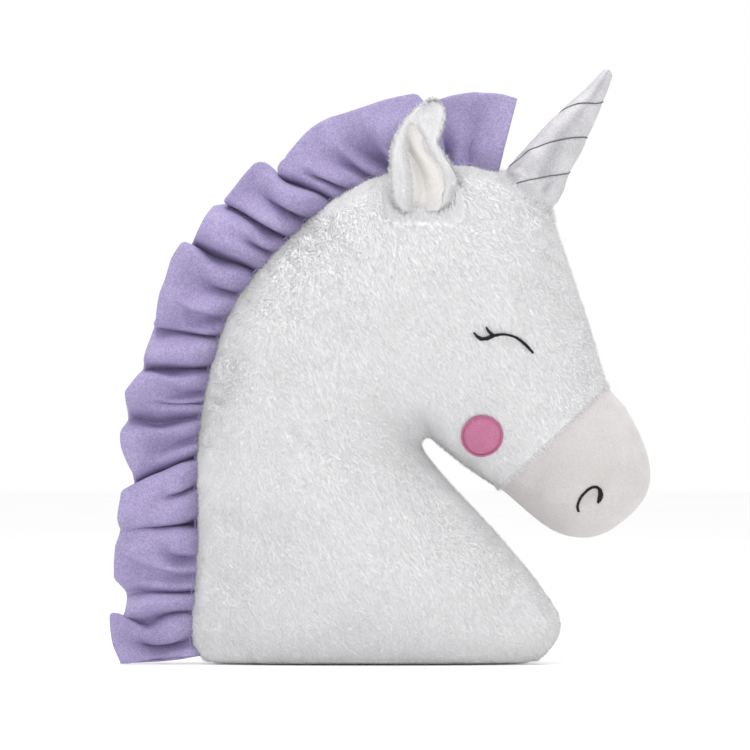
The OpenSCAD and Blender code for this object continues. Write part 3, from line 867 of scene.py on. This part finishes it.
def make_ear_stitches(surface, name, side):
    """Five short stitches that hold the ear's sewn edge down in the pile."""
    parts = []
    for i in range(-2, 3):
        x, z = EAR_FOOT[0] + 6 * i, EAR_FOOT[2] - 4
        parts.append(stitch(surface, ((x - 1.7, z), (x + 1.7, z)), side, 0, 0.2, 0.3))
    obj = new_mesh(name + "_ear_tacking", *join(parts), white_thread)
    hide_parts(name + "_ear_stitches")
    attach(obj, "head_and_neck")


SEAM_THREAD_R = 0.35


def make_seam_threads():
    """The thread of the seam round the outline, sunk between the cloths, and that of the base."""
    u = np.linspace(0.3, LAST_RIB - 0.05, 500)
    edge = np.concatenate([through(CROWN_EDGE, u), through(THROAT_EDGE, u)[::-1]])
    tangent = unit(np.gradient(edge, axis=0))
    path = edge + 0.5 * np.column_stack([tangent[:, 1], -tangent[:, 0]])
    path = np.column_stack([path[:, 0], np.zeros(len(path)), path[:, 1]])
    clear = np.linalg.norm(path - HORN_PIVOT, axis=1) > HORN_BASE_R + 2
    gap = np.nonzero(~clear)[0]
    runs = [path[:gap[0]], path[gap[-1] + 1:]]
    threads = [tube(run, SEAM_THREAD_R, 6) for run in runs]
    outline = new_mesh("outline_seam_stitches", *join(threads), white_thread)
    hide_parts("perimeter_seam_thread")
    across = np.sin(np.linspace(-0.5, 0.5, 81) * math.pi)[1:-1]
    one = np.zeros(len(across))
    ring = np.concatenate([skin(one, across, FRONT), skin(one, across[::-1], BACK)])
    ring = (ring - BASE_MIDDLE) * [0.965, 0.975, 1] + BASE_MIDDLE
    ring[:, 2] = BASE_SEAM_Z
    base = new_mesh("base_seam_stitches", *tube(ring, SEAM_THREAD_R, 6, closed=True), white_thread)
    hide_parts("base_seam_thread")
    for obj in (outline, base):
        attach(obj, "head_and_neck")


LABEL_X = -20
LABEL_W = 24
LABEL_L = 22
LABEL_T = 0.8


def make_label():
    """The folded satin ribbon that is caught in the base seam on the back."""
    out = np.linspace(-4, LABEL_L, 24)
    across = np.linspace(-LABEL_W / 2, LABEL_W / 2, 16)
    oo, aa = np.meshgrid(out, across, indexing="ij")
    share = np.clip(oo / LABEL_L, 0, 1)
    foot = -skin(np.zeros(1), np.zeros(1), FRONT)[0, 1]
    height = 1.4 + 1.3 * np.sin(share * math.pi) + 0.5 * share * np.sin(aa / 5)
    low = np.stack([LABEL_X + aa + 1.2 * share, foot + oo, height], axis=-1)
    high = low + [0, 0, LABEL_T]
    obj = new_mesh("label_ribbon", *closed_sheet(low, high), satin)
    face_outwards(obj)
    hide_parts("care_label")
    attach(obj, "head_and_neck")


# ---------- the mane ----------

MANE_FROM, MANE_TO = 0.15, 11.15
VELOUR_T = 3.8          # the doubled velour
# Hollows of the ruffle from the base to the crown: place along the seam, drift of the outer end, half width,
# depth, share of the reach, notch in the outer edge, and which fold lies over it: 1 the lower, -1 the upper,
# 0 both.
HOLLOWS = [
    (12, -1, 7, 9, 0.8, 0, -1), (32, -13, 3.5, 10, 1, 5, 1), (47, -14, 4, 13, 1, 11, -1),
    (57, 7, 5, 9, 0.95, 0, -1), (70, 10, 5, 9, 0.55, 0, -1), (95, -9, 7.5, 18, 1, 6, 0),
    (122, -18, 5, 9, 0.5, 0, -1), (142, -26, 4.5, 15, 1, 9, 1), (156, -22, 6, 10, 0.75, 0, -1),
    (170, -8, 4, 15, 1, 8, 1), (179, -6, 3.5, 9, 0.7, 0, -1), (188, -10, 4.5, 9, 0.7, 0, -1),
    (204, -12, 5.5, 15, 1, 4, 0), (227, -7, 5, 11, 1, 2, -1), (241, -7, 6, 9, 0.85, 0, -1),
    (260, -13, 6, 10, 0.75, 0, -1), (279, -12, 4.5, 16, 1, 8, 1), (297, -17, 5, 8, 0.5, 0, -1),
    (312, -12, 4.5, 14, 1, 3, -1), (330, -16, 7, 12, 0.8, 0, -1), (352, -18, 4.5, 15, 1, 17, 1),
    (366, -28, 6, 9, 0.75, 0, -1), (385, -28, 7, 11, 0.85, 0, -1), (403, -20, 7, 12, 0.8, 0, -1),
    (438, -11, 7, 13, 1, 7, 1), (452, -2, 8, 11, 0.85, 0, -1),
]
# How far the outer edge stands from the seam, at places along it.
REACH = [
    (0, 55), (20, 56), (42, 58), (56, 56), (75, 56.5), (84, 55), (100, 54.5), (114, 52), (130, 51), (145, 57),
    (158, 60), (178, 59), (188, 51), (198, 50), (210, 47.5), (225, 45), (241, 49), (255, 53), (265, 53),
    (283, 55), (292, 56), (300, 49.5), (318, 52), (330, 53), (345, 46), (360, 48), (375, 49), (395, 47.5),
    (415, 48), (425, 49), (440, 54), (450, 56), (473, 53),
]


def mane_strip():
    """The middle of the doubled cloth as a grid: rows along the strip, columns from the seam outwards."""
    u = np.linspace(MANE_FROM, MANE_TO, 1200)
    edge = through(CROWN_EDGE, u)
    run = np.concatenate([[0], np.cumsum(np.linalg.norm(np.diff(edge, axis=0), axis=1))])
    tangent = unit(np.gradient(edge, axis=0))
    # rows crowd towards the hollows, where the cloth turns sharply
    dense = np.linspace(0, run[-1], 4000)
    crowd = 1 + sum(2.2 * np.exp(-((dense - h[0]) / (1.6 * h[2])) ** 2) for h in HOLLOWS)
    crowd = np.cumsum(crowd)
    samples = np.interp(np.linspace(crowd[0], crowd[-1], 620), crowd, dense)
    columns = np.concatenate([np.linspace(0, 0.3, 8, endpoint=False), np.linspace(0.3, 1, 19)])
    place, v = np.meshgrid(samples, columns, indexing="ij")
    at_hollows, drifts = [0] + [h[0] for h in HOLLOWS] + [run[-1]], [-2] + [h[1] for h in HOLLOWS] + [0]
    drift = np.interp(samples, at_hollows, drifts)
    drift = ndsmooth(drift[:, None], 12)[:, 0]
    along = place + drift[:, None] * v
    at_ends = smooth(run[-1] - place, 4, 24) * smooth(place, 0, 12)
    depth = np.zeros_like(place)
    notches = np.zeros_like(place)
    for at, _, half, deep, share, notch, over in HOLLOWS:
        w = half * (0.8 + 0.75 * v)
        x = (place - at) / w
        strength = smooth(v, -0.12, 0.3) * (1 if share == 1 else 1 - smooth(v, share - 0.35, share + 0.2))
        depth += 1.75 * deep * strength * np.exp(-np.abs(x) ** 2)
        for side in (1, -1):
            if over != side:
                # the fold on this side of the hollow is drawn over it
                closing = np.exp(-((x - side * 1.5) / 0.9) ** 2) * at_ends
                along -= side * (1.05 if over else 0.7) * w * strength * closing
        if notch:
            low, high = (0.9, 2.6) if over == 1 else (2.6, 0.9) if over == -1 else (1.6, 1.6)
            notches += notch * np.where(x < 0, np.exp(-(x / low) ** 2), np.exp(-(x / high) ** 2))
    level = ndsmooth(depth, 45)
    y = depth - level
    gather = np.sin(2 * math.pi * place / 6.3 + 2.0 * np.sin(place / 17))
    y += 1.1 * gather * np.exp(-v / 0.1) * smooth(v, 0, 0.05)
    wander = Noise(8, 55)
    ripple = Noise(9, 24)
    flat = np.stack([place, v * 55, np.zeros_like(v)], axis=-1)
    y += (2.6 * wander(flat) + 0.9 * ripple(flat * [1, 0.4, 1])) * smooth(v, 0, 0.5)
    reach = np.interp(along, *zip(*REACH))
    out = -2.5 + v * (reach + 2.5) - notches * v**2.5 + 0.7 * ripple(flat + 90) * v
    x, z = (np.interp(along, run, edge[:, i]) for i in (0, 1))
    tx, tz = (np.interp(along, run, tangent[:, i]) for i in (0, 1))
    beyond = np.where(along < 0, along, np.where(along > run[-1], along - run[-1], 0))
    size = np.hypot(tx, tz)
    tx, tz = tx / size, tz / size
    grid = np.stack([x + tx * beyond - tz * out, y, z + tz * beyond + tx * out], axis=-1)
    # the lowest pleat is turned up, so that the toy stands on its base
    grid[..., 2] += LOW_LIFT * v * (1 - smooth(place, 0, 70))
    for _ in range(2):
        inner = grid[1:-1, 1:-1]
        around = (grid[2:, 1:-1] + grid[:-2, 1:-1] + grid[1:-1, 2:] + grid[1:-1, :-2]) / 4
        grid[1:-1, 1:-1] = inner + 0.5 * (around - inner)
    return grid, columns


def ndsmooth(values, rows):
    """Averages down the first axis over about that many rows on each side."""
    kernel = np.hanning(2 * rows + 3)[1:-1]
    kernel /= kernel.sum()
    padded = np.concatenate([np.repeat(values[:1], rows, 0), values, np.repeat(values[-1:], rows, 0)])
    return np.stack([np.convolve(padded[:, j], kernel, "valid") for j in range(values.shape[1])], axis=1)


def make_mane():
    grid, columns = mane_strip()
    n = len(grid)
    outward = np.gradient(grid, axis=1)
    normal = unit(np.cross(np.gradient(grid, axis=0), outward))
    # even the normals a little, so that the two layers stay apart at tight folds
    for _ in range(3):
        padded = np.concatenate([normal[:1], normal, normal[-1:]])
        normal = unit(padded[:-2] + 2 * normal + padded[2:])
    half = VELOUR_T / 2 * (0.6 + 0.4 * smooth(columns, 0, 0.35))[None, :, None]
    front, back = grid + normal * half, grid - normal * half
    edge_out = unit(outward[:, -1])
    fold = []
    for a in np.linspace(60, -60, 5):
        c, d = math.sin(math.radians(a)), math.cos(math.radians(a))
        fold.append(grid[:, -1] + normal[:, -1] * (VELOUR_T / 2 * c) + edge_out * (VELOUR_T / 2 * 1.15 * d))
    loop = np.concatenate([front, np.stack(fold, axis=1), back[:, ::-1]], axis=1)
    loop[:, :, 2] = np.maximum(loop[:, :, 2], 0.5)
    k = loop.shape[1]
    faces = grid_faces(n, k, wrap_cols=True)
    faces += [tuple(range(k)), tuple(range((n - 1) * k, n * k))[::-1]]
    mane = new_mesh("mane_velour", loop.reshape(-1, 3), faces, lilac_velour)
    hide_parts("mane_ruffle")
    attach(mane, "head_and_neck")


# ---------- the ears ----------

EAR_H = 77
EAR_LEAN_IN = 11
RIM_LOCKS = 330         # along each side of the ear
BORDER_LOCKS = 1500     # along the edge of the lining
EAR_LEFT = [(0, -10.3), (0.08, -15), (0.2, -16.5), (0.36, -17.8), (0.55, -17.8), (0.68, -15.2), (0.78, -11.5),
            (0.88, -6), (0.95, 0.5), (1, 8)]
EAR_RIGHT = [(0, 16.3), (0.1, 24), (0.2, 28), (0.32, 28), (0.42, 24.5), (0.5, 20), (0.58, 15.5), (0.64, 14.5),
             (0.7, 16), (0.78, 18.5), (0.88, 19.5), (0.95, 18.5), (1, 15)]


def ear_surface(h, v):
    """The ear's open side: h runs up it and v across it. x and z are as seen from the front, y is inwards."""
    left = np.interp(h, *zip(*EAR_LEFT))
    right = np.interp(h, *zip(*EAR_RIGHT))
    x = (left + right) / 2 + (right - left) / 2 * np.sin(v * 1.35) / math.sin(1.35)
    cup = 5.5 * (1 - 0.55 * h) * (1 - smooth(h, 0.82, 1) * 0.6)
    y = cup * (0.45 - 0.9 * smooth(np.abs(v), 0, 0.62) + 0.55 * smooth(np.abs(v), 0.62, 1))
    furrow_v = -0.6 * h**2
    furrow = 5.0 * np.exp(-((v - furrow_v) / 0.11) ** 2) * smooth(h, 0.05, 0.2) * (1 - smooth(h, 0.5, 0.75))
    ridge = 2.0 * np.exp(-((v - furrow_v - 0.22) / 0.16) ** 2) * (1 - smooth(h, 0.55, 0.8))
    fold_v = 0.55 - 0.47 * h
    fold = 1.2 * np.exp(-((v - fold_v) / 0.05) ** 2) * smooth(h, 0.15, 0.3) * (1 - smooth(h, 0.6, 0.8))
    furrow = furrow + fold
    roll = 1.0 * np.exp(-((v + 0.75) / 0.3) ** 2)
    # the low right corner is drawn back against the head
    wing = 8.0 * smooth(v, 0.3, 1) * smooth(h, 0.04, 0.22) * (1 - smooth(h, 0.36, 0.62))
    z = EAR_H * h + 2.5 * smooth(h, 0.7, 1) * np.cos(v * 1.2)
    sunk = 3.5 * (1 - smooth(h, 0, 0.16))
    return np.stack([x, y + furrow - ridge - roll + wing + sunk + 2.5 * h, z], axis=-1)


def lining_edges(h):
    """Where the lining ends on its left and right, in v."""
    left = -0.3 - 0.25 * smooth(h, 0.64, 0.8)
    right = 0.46 + 0.3 * (1 - smooth(h, 0, 0.15)) - 0.1 * smooth(h, 0.35, 0.6) - 0.45 * smooth(h, 0.62, 0.8)
    middle, half = (left + right) / 2, (right - left) / 2
    half = half * np.sqrt(np.clip(1 - (np.clip(h - 0.67, 0, 1) / 0.135) ** 2, 0.03, 1))
    return middle - half, middle + half


def ear_place(p, side, hinge_y):
    """From the ear's own frame to the toy's: leant in, and mirrored for the back ear."""
    a = math.radians(EAR_LEAN_IN)
    x, y, z = p[..., 0], p[..., 1], p[..., 2]
    y, z = y * math.cos(a) + z * math.sin(a), -y * math.sin(a) + z * math.cos(a)
    y = y - abs(hinge_y)
    return np.stack([x + EAR_FOOT[0], y * (1 if side == FRONT else -1), z + EAR_FOOT[2]], axis=-1)


def make_ear(name, side, hinge_y):
    rows, cols = 40, 33
    h, v = np.meshgrid(np.linspace(0, 1, rows), np.linspace(-1, 1, cols), indexing="ij")
    open_side = ear_surface(h, v)
    n = unit(np.cross(np.gradient(open_side, axis=0), np.gradient(open_side, axis=1)))
    n = np.where(n[..., 1:2] < 0, -n, n)
    shut_side = open_side + np.stack([n[..., 0] * 1.5, np.full_like(h, 4.2), n[..., 2] * 1.5], axis=-1)
    pts, faces = closed_sheet(open_side, shut_side)
    shell = new_mesh(name + "_ear_fleece", ear_place(pts, side, hinge_y), faces, fleece)
    face_outwards(shell)
    sub = shell.modifiers.new("smoother", "SUBSURF")
    sub.levels = 1
    bake_modifiers(shell)
    # the lining is a thin closed sheet just above the open side
    lr, lc = 44, 30
    hh = np.linspace(0.0, 0.8, lr)
    lo, hi = lining_edges(hh)
    grid = np.linspace(0, 1, lc)[None, :] * (hi - lo)[:, None] + lo[:, None]
    hg = np.repeat(hh[:, None], lc, axis=1)
    sheet = ear_surface(hg, grid)
    wrinkle = 0.45 * Noise(31, 14)(sheet * [1, 1, 0.35])
    top, under = sheet.copy(), sheet.copy()
    top[..., 1] -= 1.1 + wrinkle
    under[..., 1] += 0.6
    pts, faces = closed_sheet(top, under)
    lining = new_mesh(name + "_ear_velour", ear_place(pts, side, hinge_y), faces, lining_velour)
    face_outwards(lining)

    lining_tree = Surface(lining)

    def off_lining(q, m):
        near = np.array([np.linalg.norm(lining_tree.nearest(p)[0] - p) for p in q])
        faces_open = m[:, 1] * side > 0.15
        return np.where(faces_open & (near < 1.25), 0.0, 1.0)

    q, m = scatter(shell, 0.8, 71 + side, off_lining)
    # the rim gets longer locks, in addition
    count = RIM_LOCKS
    over_tip = count // 3
    rim_h = np.concatenate([np.linspace(0.02, 1, count), np.full(over_tip, 1.0), np.linspace(1, 0.02, count)])
    rim_v = np.concatenate([np.full(count, -1.0), np.linspace(-1, 1, over_tip), np.full(count, 1.0)])
    rng = np.random.default_rng(77 + side)
    inside = rng.uniform(0, 4.2, len(rim_h))
    rim = ear_surface(rim_h, rim_v) + np.column_stack([0 * inside, inside, 0 * inside])
    rim = ear_place(rim, side, hinge_y)
    middle = EAR_FOOT + [4, 0, 34]
    rim_out = unit((rim - middle) * [1, 0, 1])
    # the edge of the lining gets locks of its own, which lie over it
    edge_h = rng.uniform(0, 0.81, BORDER_LOCKS)
    edge_side = np.where(np.arange(BORDER_LOCKS) % 2, 1, -1)
    left, right = lining_edges(edge_h)
    edge_v = np.where(edge_side > 0, right, left) + edge_side * rng.uniform(0, 0.17, BORDER_LOCKS)
    border = ear_place(ear_surface(edge_h, edge_v) - [0, 0.4, 0], side, hinge_y)
    outwards = np.tile([0.0, side, 0.0], (BORDER_LOCKS, 1))
    places, facing = np.concatenate([q, rim, border]), np.concatenate([m, rim_out, outwards])
    comb = np.array([0, side * 0.2, 0.5]) + unit((places - middle) * [1, 0, 1]) * 0.9
    comb[-BORDER_LOCKS:] = np.column_stack([-0.7 * edge_side, 0 * edge_h, 0.5 + 0 * edge_h])
    groups = [len(q), len(rim_h), BORDER_LOCKS]
    length = np.repeat([3.2, 0.0, 2.8], groups)
    length[len(q):-BORDER_LOCKS] = rng.uniform(2.6, 4.6, len(rim_h))
    width = np.repeat([0.8, 1.5, 0.8], groups)
    lean = np.repeat([0.5, 0.7, 0.45], groups)
    soft = np.outer(smooth(facing[:, 1] * side, -0.3, 0.3), [0, side * 1.5, 0.2])
    tufts = pile(name + "_ear_pile", places, facing, length, width, lean, 73 + side, pile_white, comb, soft)
    for obj, slot_name in ((shell, "white_fleece"), (tufts, "white_fleece"), (lining, "ear_velour")):
        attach(obj, name + "_ear")
    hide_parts(name + "_ear_outer")
    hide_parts(name + "_ear_lining")


# ---------- the horn ----------

CORD_PITCH = 32
CORD_CLIMB = 14.5
CORD_START, CORD_END = -0.33, 2.45      # in turns round the horn
PLY_R = 0.3             # the cord is two plies, each this thick
PLY_OUT = 0.24          # and this far from its middle
PLY_TWIST = 2.2         # length of one twist
CORD_SLANTS = [(-0.25, 0.9), (0, 0.86), (0.5, 1.19), (1, 0.85), (1.5, 0.25), (2, 0.82), (2.45, 0.8)]
HORN_TIP_R = 2.9
HORN_TIP_L = 3.2


def horn_point(t, a, r):
    """A point by its height along the horn, the angle round it and its radius."""
    right = np.array([HORN_AXIS[2], 0, -HORN_AXIS[0]])
    t, a, r = np.broadcast_arrays(np.asarray(t, float), np.asarray(a, float), np.asarray(r, float))
    return (HORN_PIVOT + t[..., None] * HORN_AXIS + (r * np.cos(a))[..., None] * right
            + (r * np.sin(a))[..., None] * np.array([0, 1, 0]))


def horn_radius(t, a):
    """The stuffed cone, fuller on its upper side, on the ball that its foot turns on."""
    share = np.clip(t / HORN_LENGTH, 0, 1)
    cone = HORN_BASE_R + 0.9 + (HORN_TIP_R - HORN_BASE_R - 0.9) * share
    upper, lower = (1 - np.cos(a)) / 2, (1 + np.cos(a)) / 2
    cone = cone + 2.4 * upper * np.sin(np.minimum(share / 0.8, 1) * math.pi)
    cone = cone + lower * (1.9 + 1.8 * (share - 0.4)) * np.sqrt(np.sin(share * math.pi))
    ball = np.sqrt(np.maximum(HORN_BASE_R**2 - 0.4 * np.clip(t, -HORN_BASE_R, 8) ** 2, 0))
    r = ball + (cone - ball) * smooth(t, 2, 8)
    tip = np.clip((HORN_LENGTH - t) / HORN_TIP_L, 0, 1)
    return r * np.sqrt(np.clip(1 - (1 - tip) ** 2, 0, 1))


def horn_cloth_radius(t, a):
    """The same with the foil's wrinkles, the pinch under the cord, the gathers at the foot and the seam."""
    r = horn_radius(t, a)
    gap = np.full(np.shape(t), 99.0)
    for k in range(-1, 4):
        turn = a / (2 * math.pi) + k
        gap = np.where((turn > -0.45) & (turn < 2.55), np.minimum(gap, np.abs(t - cord_height(turn))), gap)
    share = np.clip(r / HORN_BASE_R, 0, 1)
    pinch = -0.5 * np.exp(-(gap / 1.8) ** 2) * np.sqrt(share) + 0.25 * smooth(gap, 2, 9) * share
    at = horn_point(t, a, r) @ np.diag([1, 1, 0.4])
    wrinkles = 0.28 * Noise(81, 17)(at) + 0.2 * Noise(82, 8)(at)
    foot = 0.8 * np.sin(7 * a + 0.8 * np.sin(3 * a)) * np.exp(-((t - 8) / 13) ** 2) * smooth(t, 4, 8)
    seam = -0.8 * np.exp(-(((a - 1.9) / 0.06) ** 2)) - 0.7 * share * horn_furrow(t, a)
    return r + (pinch + wrinkles * smooth(t, 4, 14) * share + foot + seam) * smooth(t, 2, 9) * smooth(r, 0, 3)


def horn_furrow(t, a):
    """The shallow hollow that runs up the front of the cloth, 1 in its middle."""
    middle = 1.5 * math.pi + 0.12 * np.sin(t / 11)
    return np.exp(-((a - middle) / 0.3) ** 2) * smooth(t, 8, 22)


def cord_height(turn):
    """How high the wound cord lies on the horn at each turn."""
    a = 2 * math.pi * turn
    climb = CORD_CLIMB + CORD_PITCH * turn
    r = HORN_BASE_R * (1 - climb / HORN_LENGTH * 0.9)
    slant = np.interp(turn, *zip(*CORD_SLANTS))
    bow = (0.4 + 0.22 * turn) * (1 - 0.55 * np.cos(a))
    return climb + r * (slant * np.cos(a) - bow * np.sin(a))


def make_horn():
    rows, cols = 230, 128
    t = np.linspace(-12, HORN_LENGTH, rows)
    t[-12:] = HORN_LENGTH - HORN_TIP_L * (1 - np.sin(np.linspace(0, 1, 12) * math.pi / 2))
    a = np.arange(cols) * 2 * math.pi / cols
    tt, aa = np.meshgrid(t, a, indexing="ij")
    verts = horn_point(tt, aa, np.maximum(horn_cloth_radius(tt, aa), 0.05)).reshape(-1, 3)
    faces = grid_faces(rows, cols, wrap_cols=True)
    faces += [tuple(range(cols))[::-1], tuple(range((rows - 1) * cols, rows * cols))]
    horn = new_mesh("horn_foil", verts, faces, foil)
    at_foot = 0.3 * np.exp(-((tt - 12) / 9) ** 2) * Noise(83, 9)(horn_point(tt, aa, 20))
    # painted shade and reflection along the furrow, plus random darker patches near the foot, stored for the
    # foil material
    furrow_shade_and_foot_patches = 0.75 * horn_furrow(tt, aa) + at_foot
    horn.data.attributes.new("furrow_shade_and_foot_patches", "FLOAT", "POINT").data.foreach_set("value", np.clip(furrow_shade_and_foot_patches, 0, 1).ravel())
    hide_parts("horn_shell", "horn_filling")
    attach(horn, "horn")
    # two plies twisted together
    turn = np.linspace(CORD_START, CORD_END, 900)
    height = cord_height(turn)
    angle = 2 * math.pi * turn
    core = horn_point(height, angle, horn_cloth_radius(height, angle % (2 * math.pi)) + 0.15)
    tangent = unit(np.gradient(core, axis=0))
    out = unit(horn_point(height, angle, 1.0) - horn_point(height, angle, 0.0))
    cross = np.cross(tangent, out)
    run = np.concatenate([[0], np.cumsum(np.linalg.norm(np.diff(core, axis=0), axis=1))])
    parts = []
    for ply in (0, math.pi):
        twist = run * 2 * math.pi / PLY_TWIST + ply
        around = out * np.cos(twist)[:, None] + cross * np.sin(twist)[:, None]
        parts.append(tube(core + PLY_OUT * around, PLY_R, 7))
    cord = new_mesh("horn_cord", *join(parts), grey_cord)
    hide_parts("horn_wound_cord")
    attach(cord, "horn")


# ---------- assembly ----------

body = make_body()
surface = Surface(body)
panels = cut_panels(body)
bpy.data.objects.remove(body)
for name, obj in panels.items():
    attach(obj, "head_and_neck")
    velour = name.endswith("_muzzle")
    obj.data.materials.append(muzzle_velour if velour else fleece)
    if name == "base":
        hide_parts("base_panel", "body_filling")
    else:
        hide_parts(name + "_panel")
make_mane()
hinges = {j["name"]: j["pos_m"][1] / MM for j in frame["joints"]}
for name, side in SIDES.items():
    make_eye(surface, name, side)
    make_nostril(surface, name, side)
    make_cheek(surface, name, side)
    make_ear(name, side, hinges[name + "_ear_fold"])
    make_muzzle_stitches(surface, name, side)
    make_ear_stitches(surface, name, side)
    q, m = scatter(panels[name + "_head"], 0.8, 11 + side, lambda q, m: clear_of_stitching(q))
    edge = smooth(outline_distance(q), 0, 10)
    roots = by_ear_foot(q) + by_horn_foot(q)
    seam = 1 - smooth(behind_muzzle_seam(q), 0, 4)
    length = 3.0 + 0.4 * edge + 2.2 * roots + 1.8 * seam
    lean = 0.8 - 0.3 * edge + 0.35 * roots - 0.2 * seam
    tufts = pile(name + "_pile", q, m, length, 0.6, lean, 21 + side, pile_white, comb=body_comb(q),
                 soft=np.array([0, side * 1.5, 0.4]))
    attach(tufts, "head_and_neck")
q, m = scatter(panels["base"], 0.95, 14, lambda q, m: (m[:, 2] > -0.85) * 1.0)
tufts = pile("base_pile", q, m, 2.4, 0.75, 0.7, 24, pile_white)
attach(tufts, "head_and_neck")
make_seam_threads()
make_label()
make_horn()
for node, material in (("mane_gathering_thread", lilac_thread), ("closing_stitches", white_thread)):
    frame["nodes"][node].data.materials.clear()
    frame["nodes"][node].data.materials.append(material)


# ---------- room, light and camera ----------

FLOOR_R = 9000
LAMP_AIM = (0, 0, 0.2)                  # metres, as are the places below
# Name, place, size and power of each lamp.
LAMPS = [
    ("key", (-0.3, -0.7, 2.4), 1.2, 25),
    ("front", (0.3, -2.2, 1.9), 1.8, 1.5),
    ("back", (0.3, 1.0, 2.3), 1.8, 12),
    ("right", (1.5, -1.4, 0.25), 1.6, 5),
]
CAMERA_AT = (-0.0042, -6, 0.2023)
VIEW_WIDTH = 0.525                      # how much the picture spans where the toy stands
SENSOR = 36


def studio():
    mat = Shade("pale_floor", (0.97, 0.97, 0.97), 0.8)
    mat.color(mat.ramp(mat.noise(3, 2), [(0.4, (0.965, 0.965, 0.965)), (0.6, (0.975, 0.975, 0.975))]))
    angle = np.linspace(0, 2 * math.pi, 97)[:-1]
    disc = np.column_stack([np.cos(angle) * FLOOR_R, np.sin(angle) * FLOOR_R, np.zeros(96)])
    floor = new_mesh("floor", disc, [tuple(range(96))], mat.mat, flat=True)
    world = bpy.data.worlds.new("studio")
    bpy.context.scene.world = world
    world.use_nodes = True
    world.node_tree.nodes["Background"].inputs["Color"].default_value = (1, 1, 1, 1)
    world.node_tree.nodes["Background"].inputs["Strength"].default_value = 1.0
    for name, place, size, power in LAMPS:
        light = bpy.data.lights.new(name, "AREA")
        light.size = size
        light.energy = power
        lamp = bpy.data.objects.new(name, light)
        lamp.location = place
        lamp.visible_camera = False
        lamp.rotation_euler = (Vector(LAMP_AIM) - Vector(place)).to_track_quat("-Z", "Y").to_euler()
        bpy.context.scene.collection.objects.link(lamp)


def camera():
    """Square-on to the front face, far enough back to keep the perspective slight."""
    cam = bpy.data.cameras.new("camera")
    cam.sensor_width = SENSOR
    cam.lens = SENSOR * -CAMERA_AT[1] / VIEW_WIDTH
    cam.clip_end = 100
    obj = bpy.data.objects.new("camera", cam)
    obj.location = CAMERA_AT
    obj.rotation_euler = (math.pi / 2, 0, 0)
    bpy.context.scene.collection.objects.link(obj)
    bpy.context.scene.camera = obj


studio()
camera()
bpy.context.scene.view_settings.view_transform = "Standard"
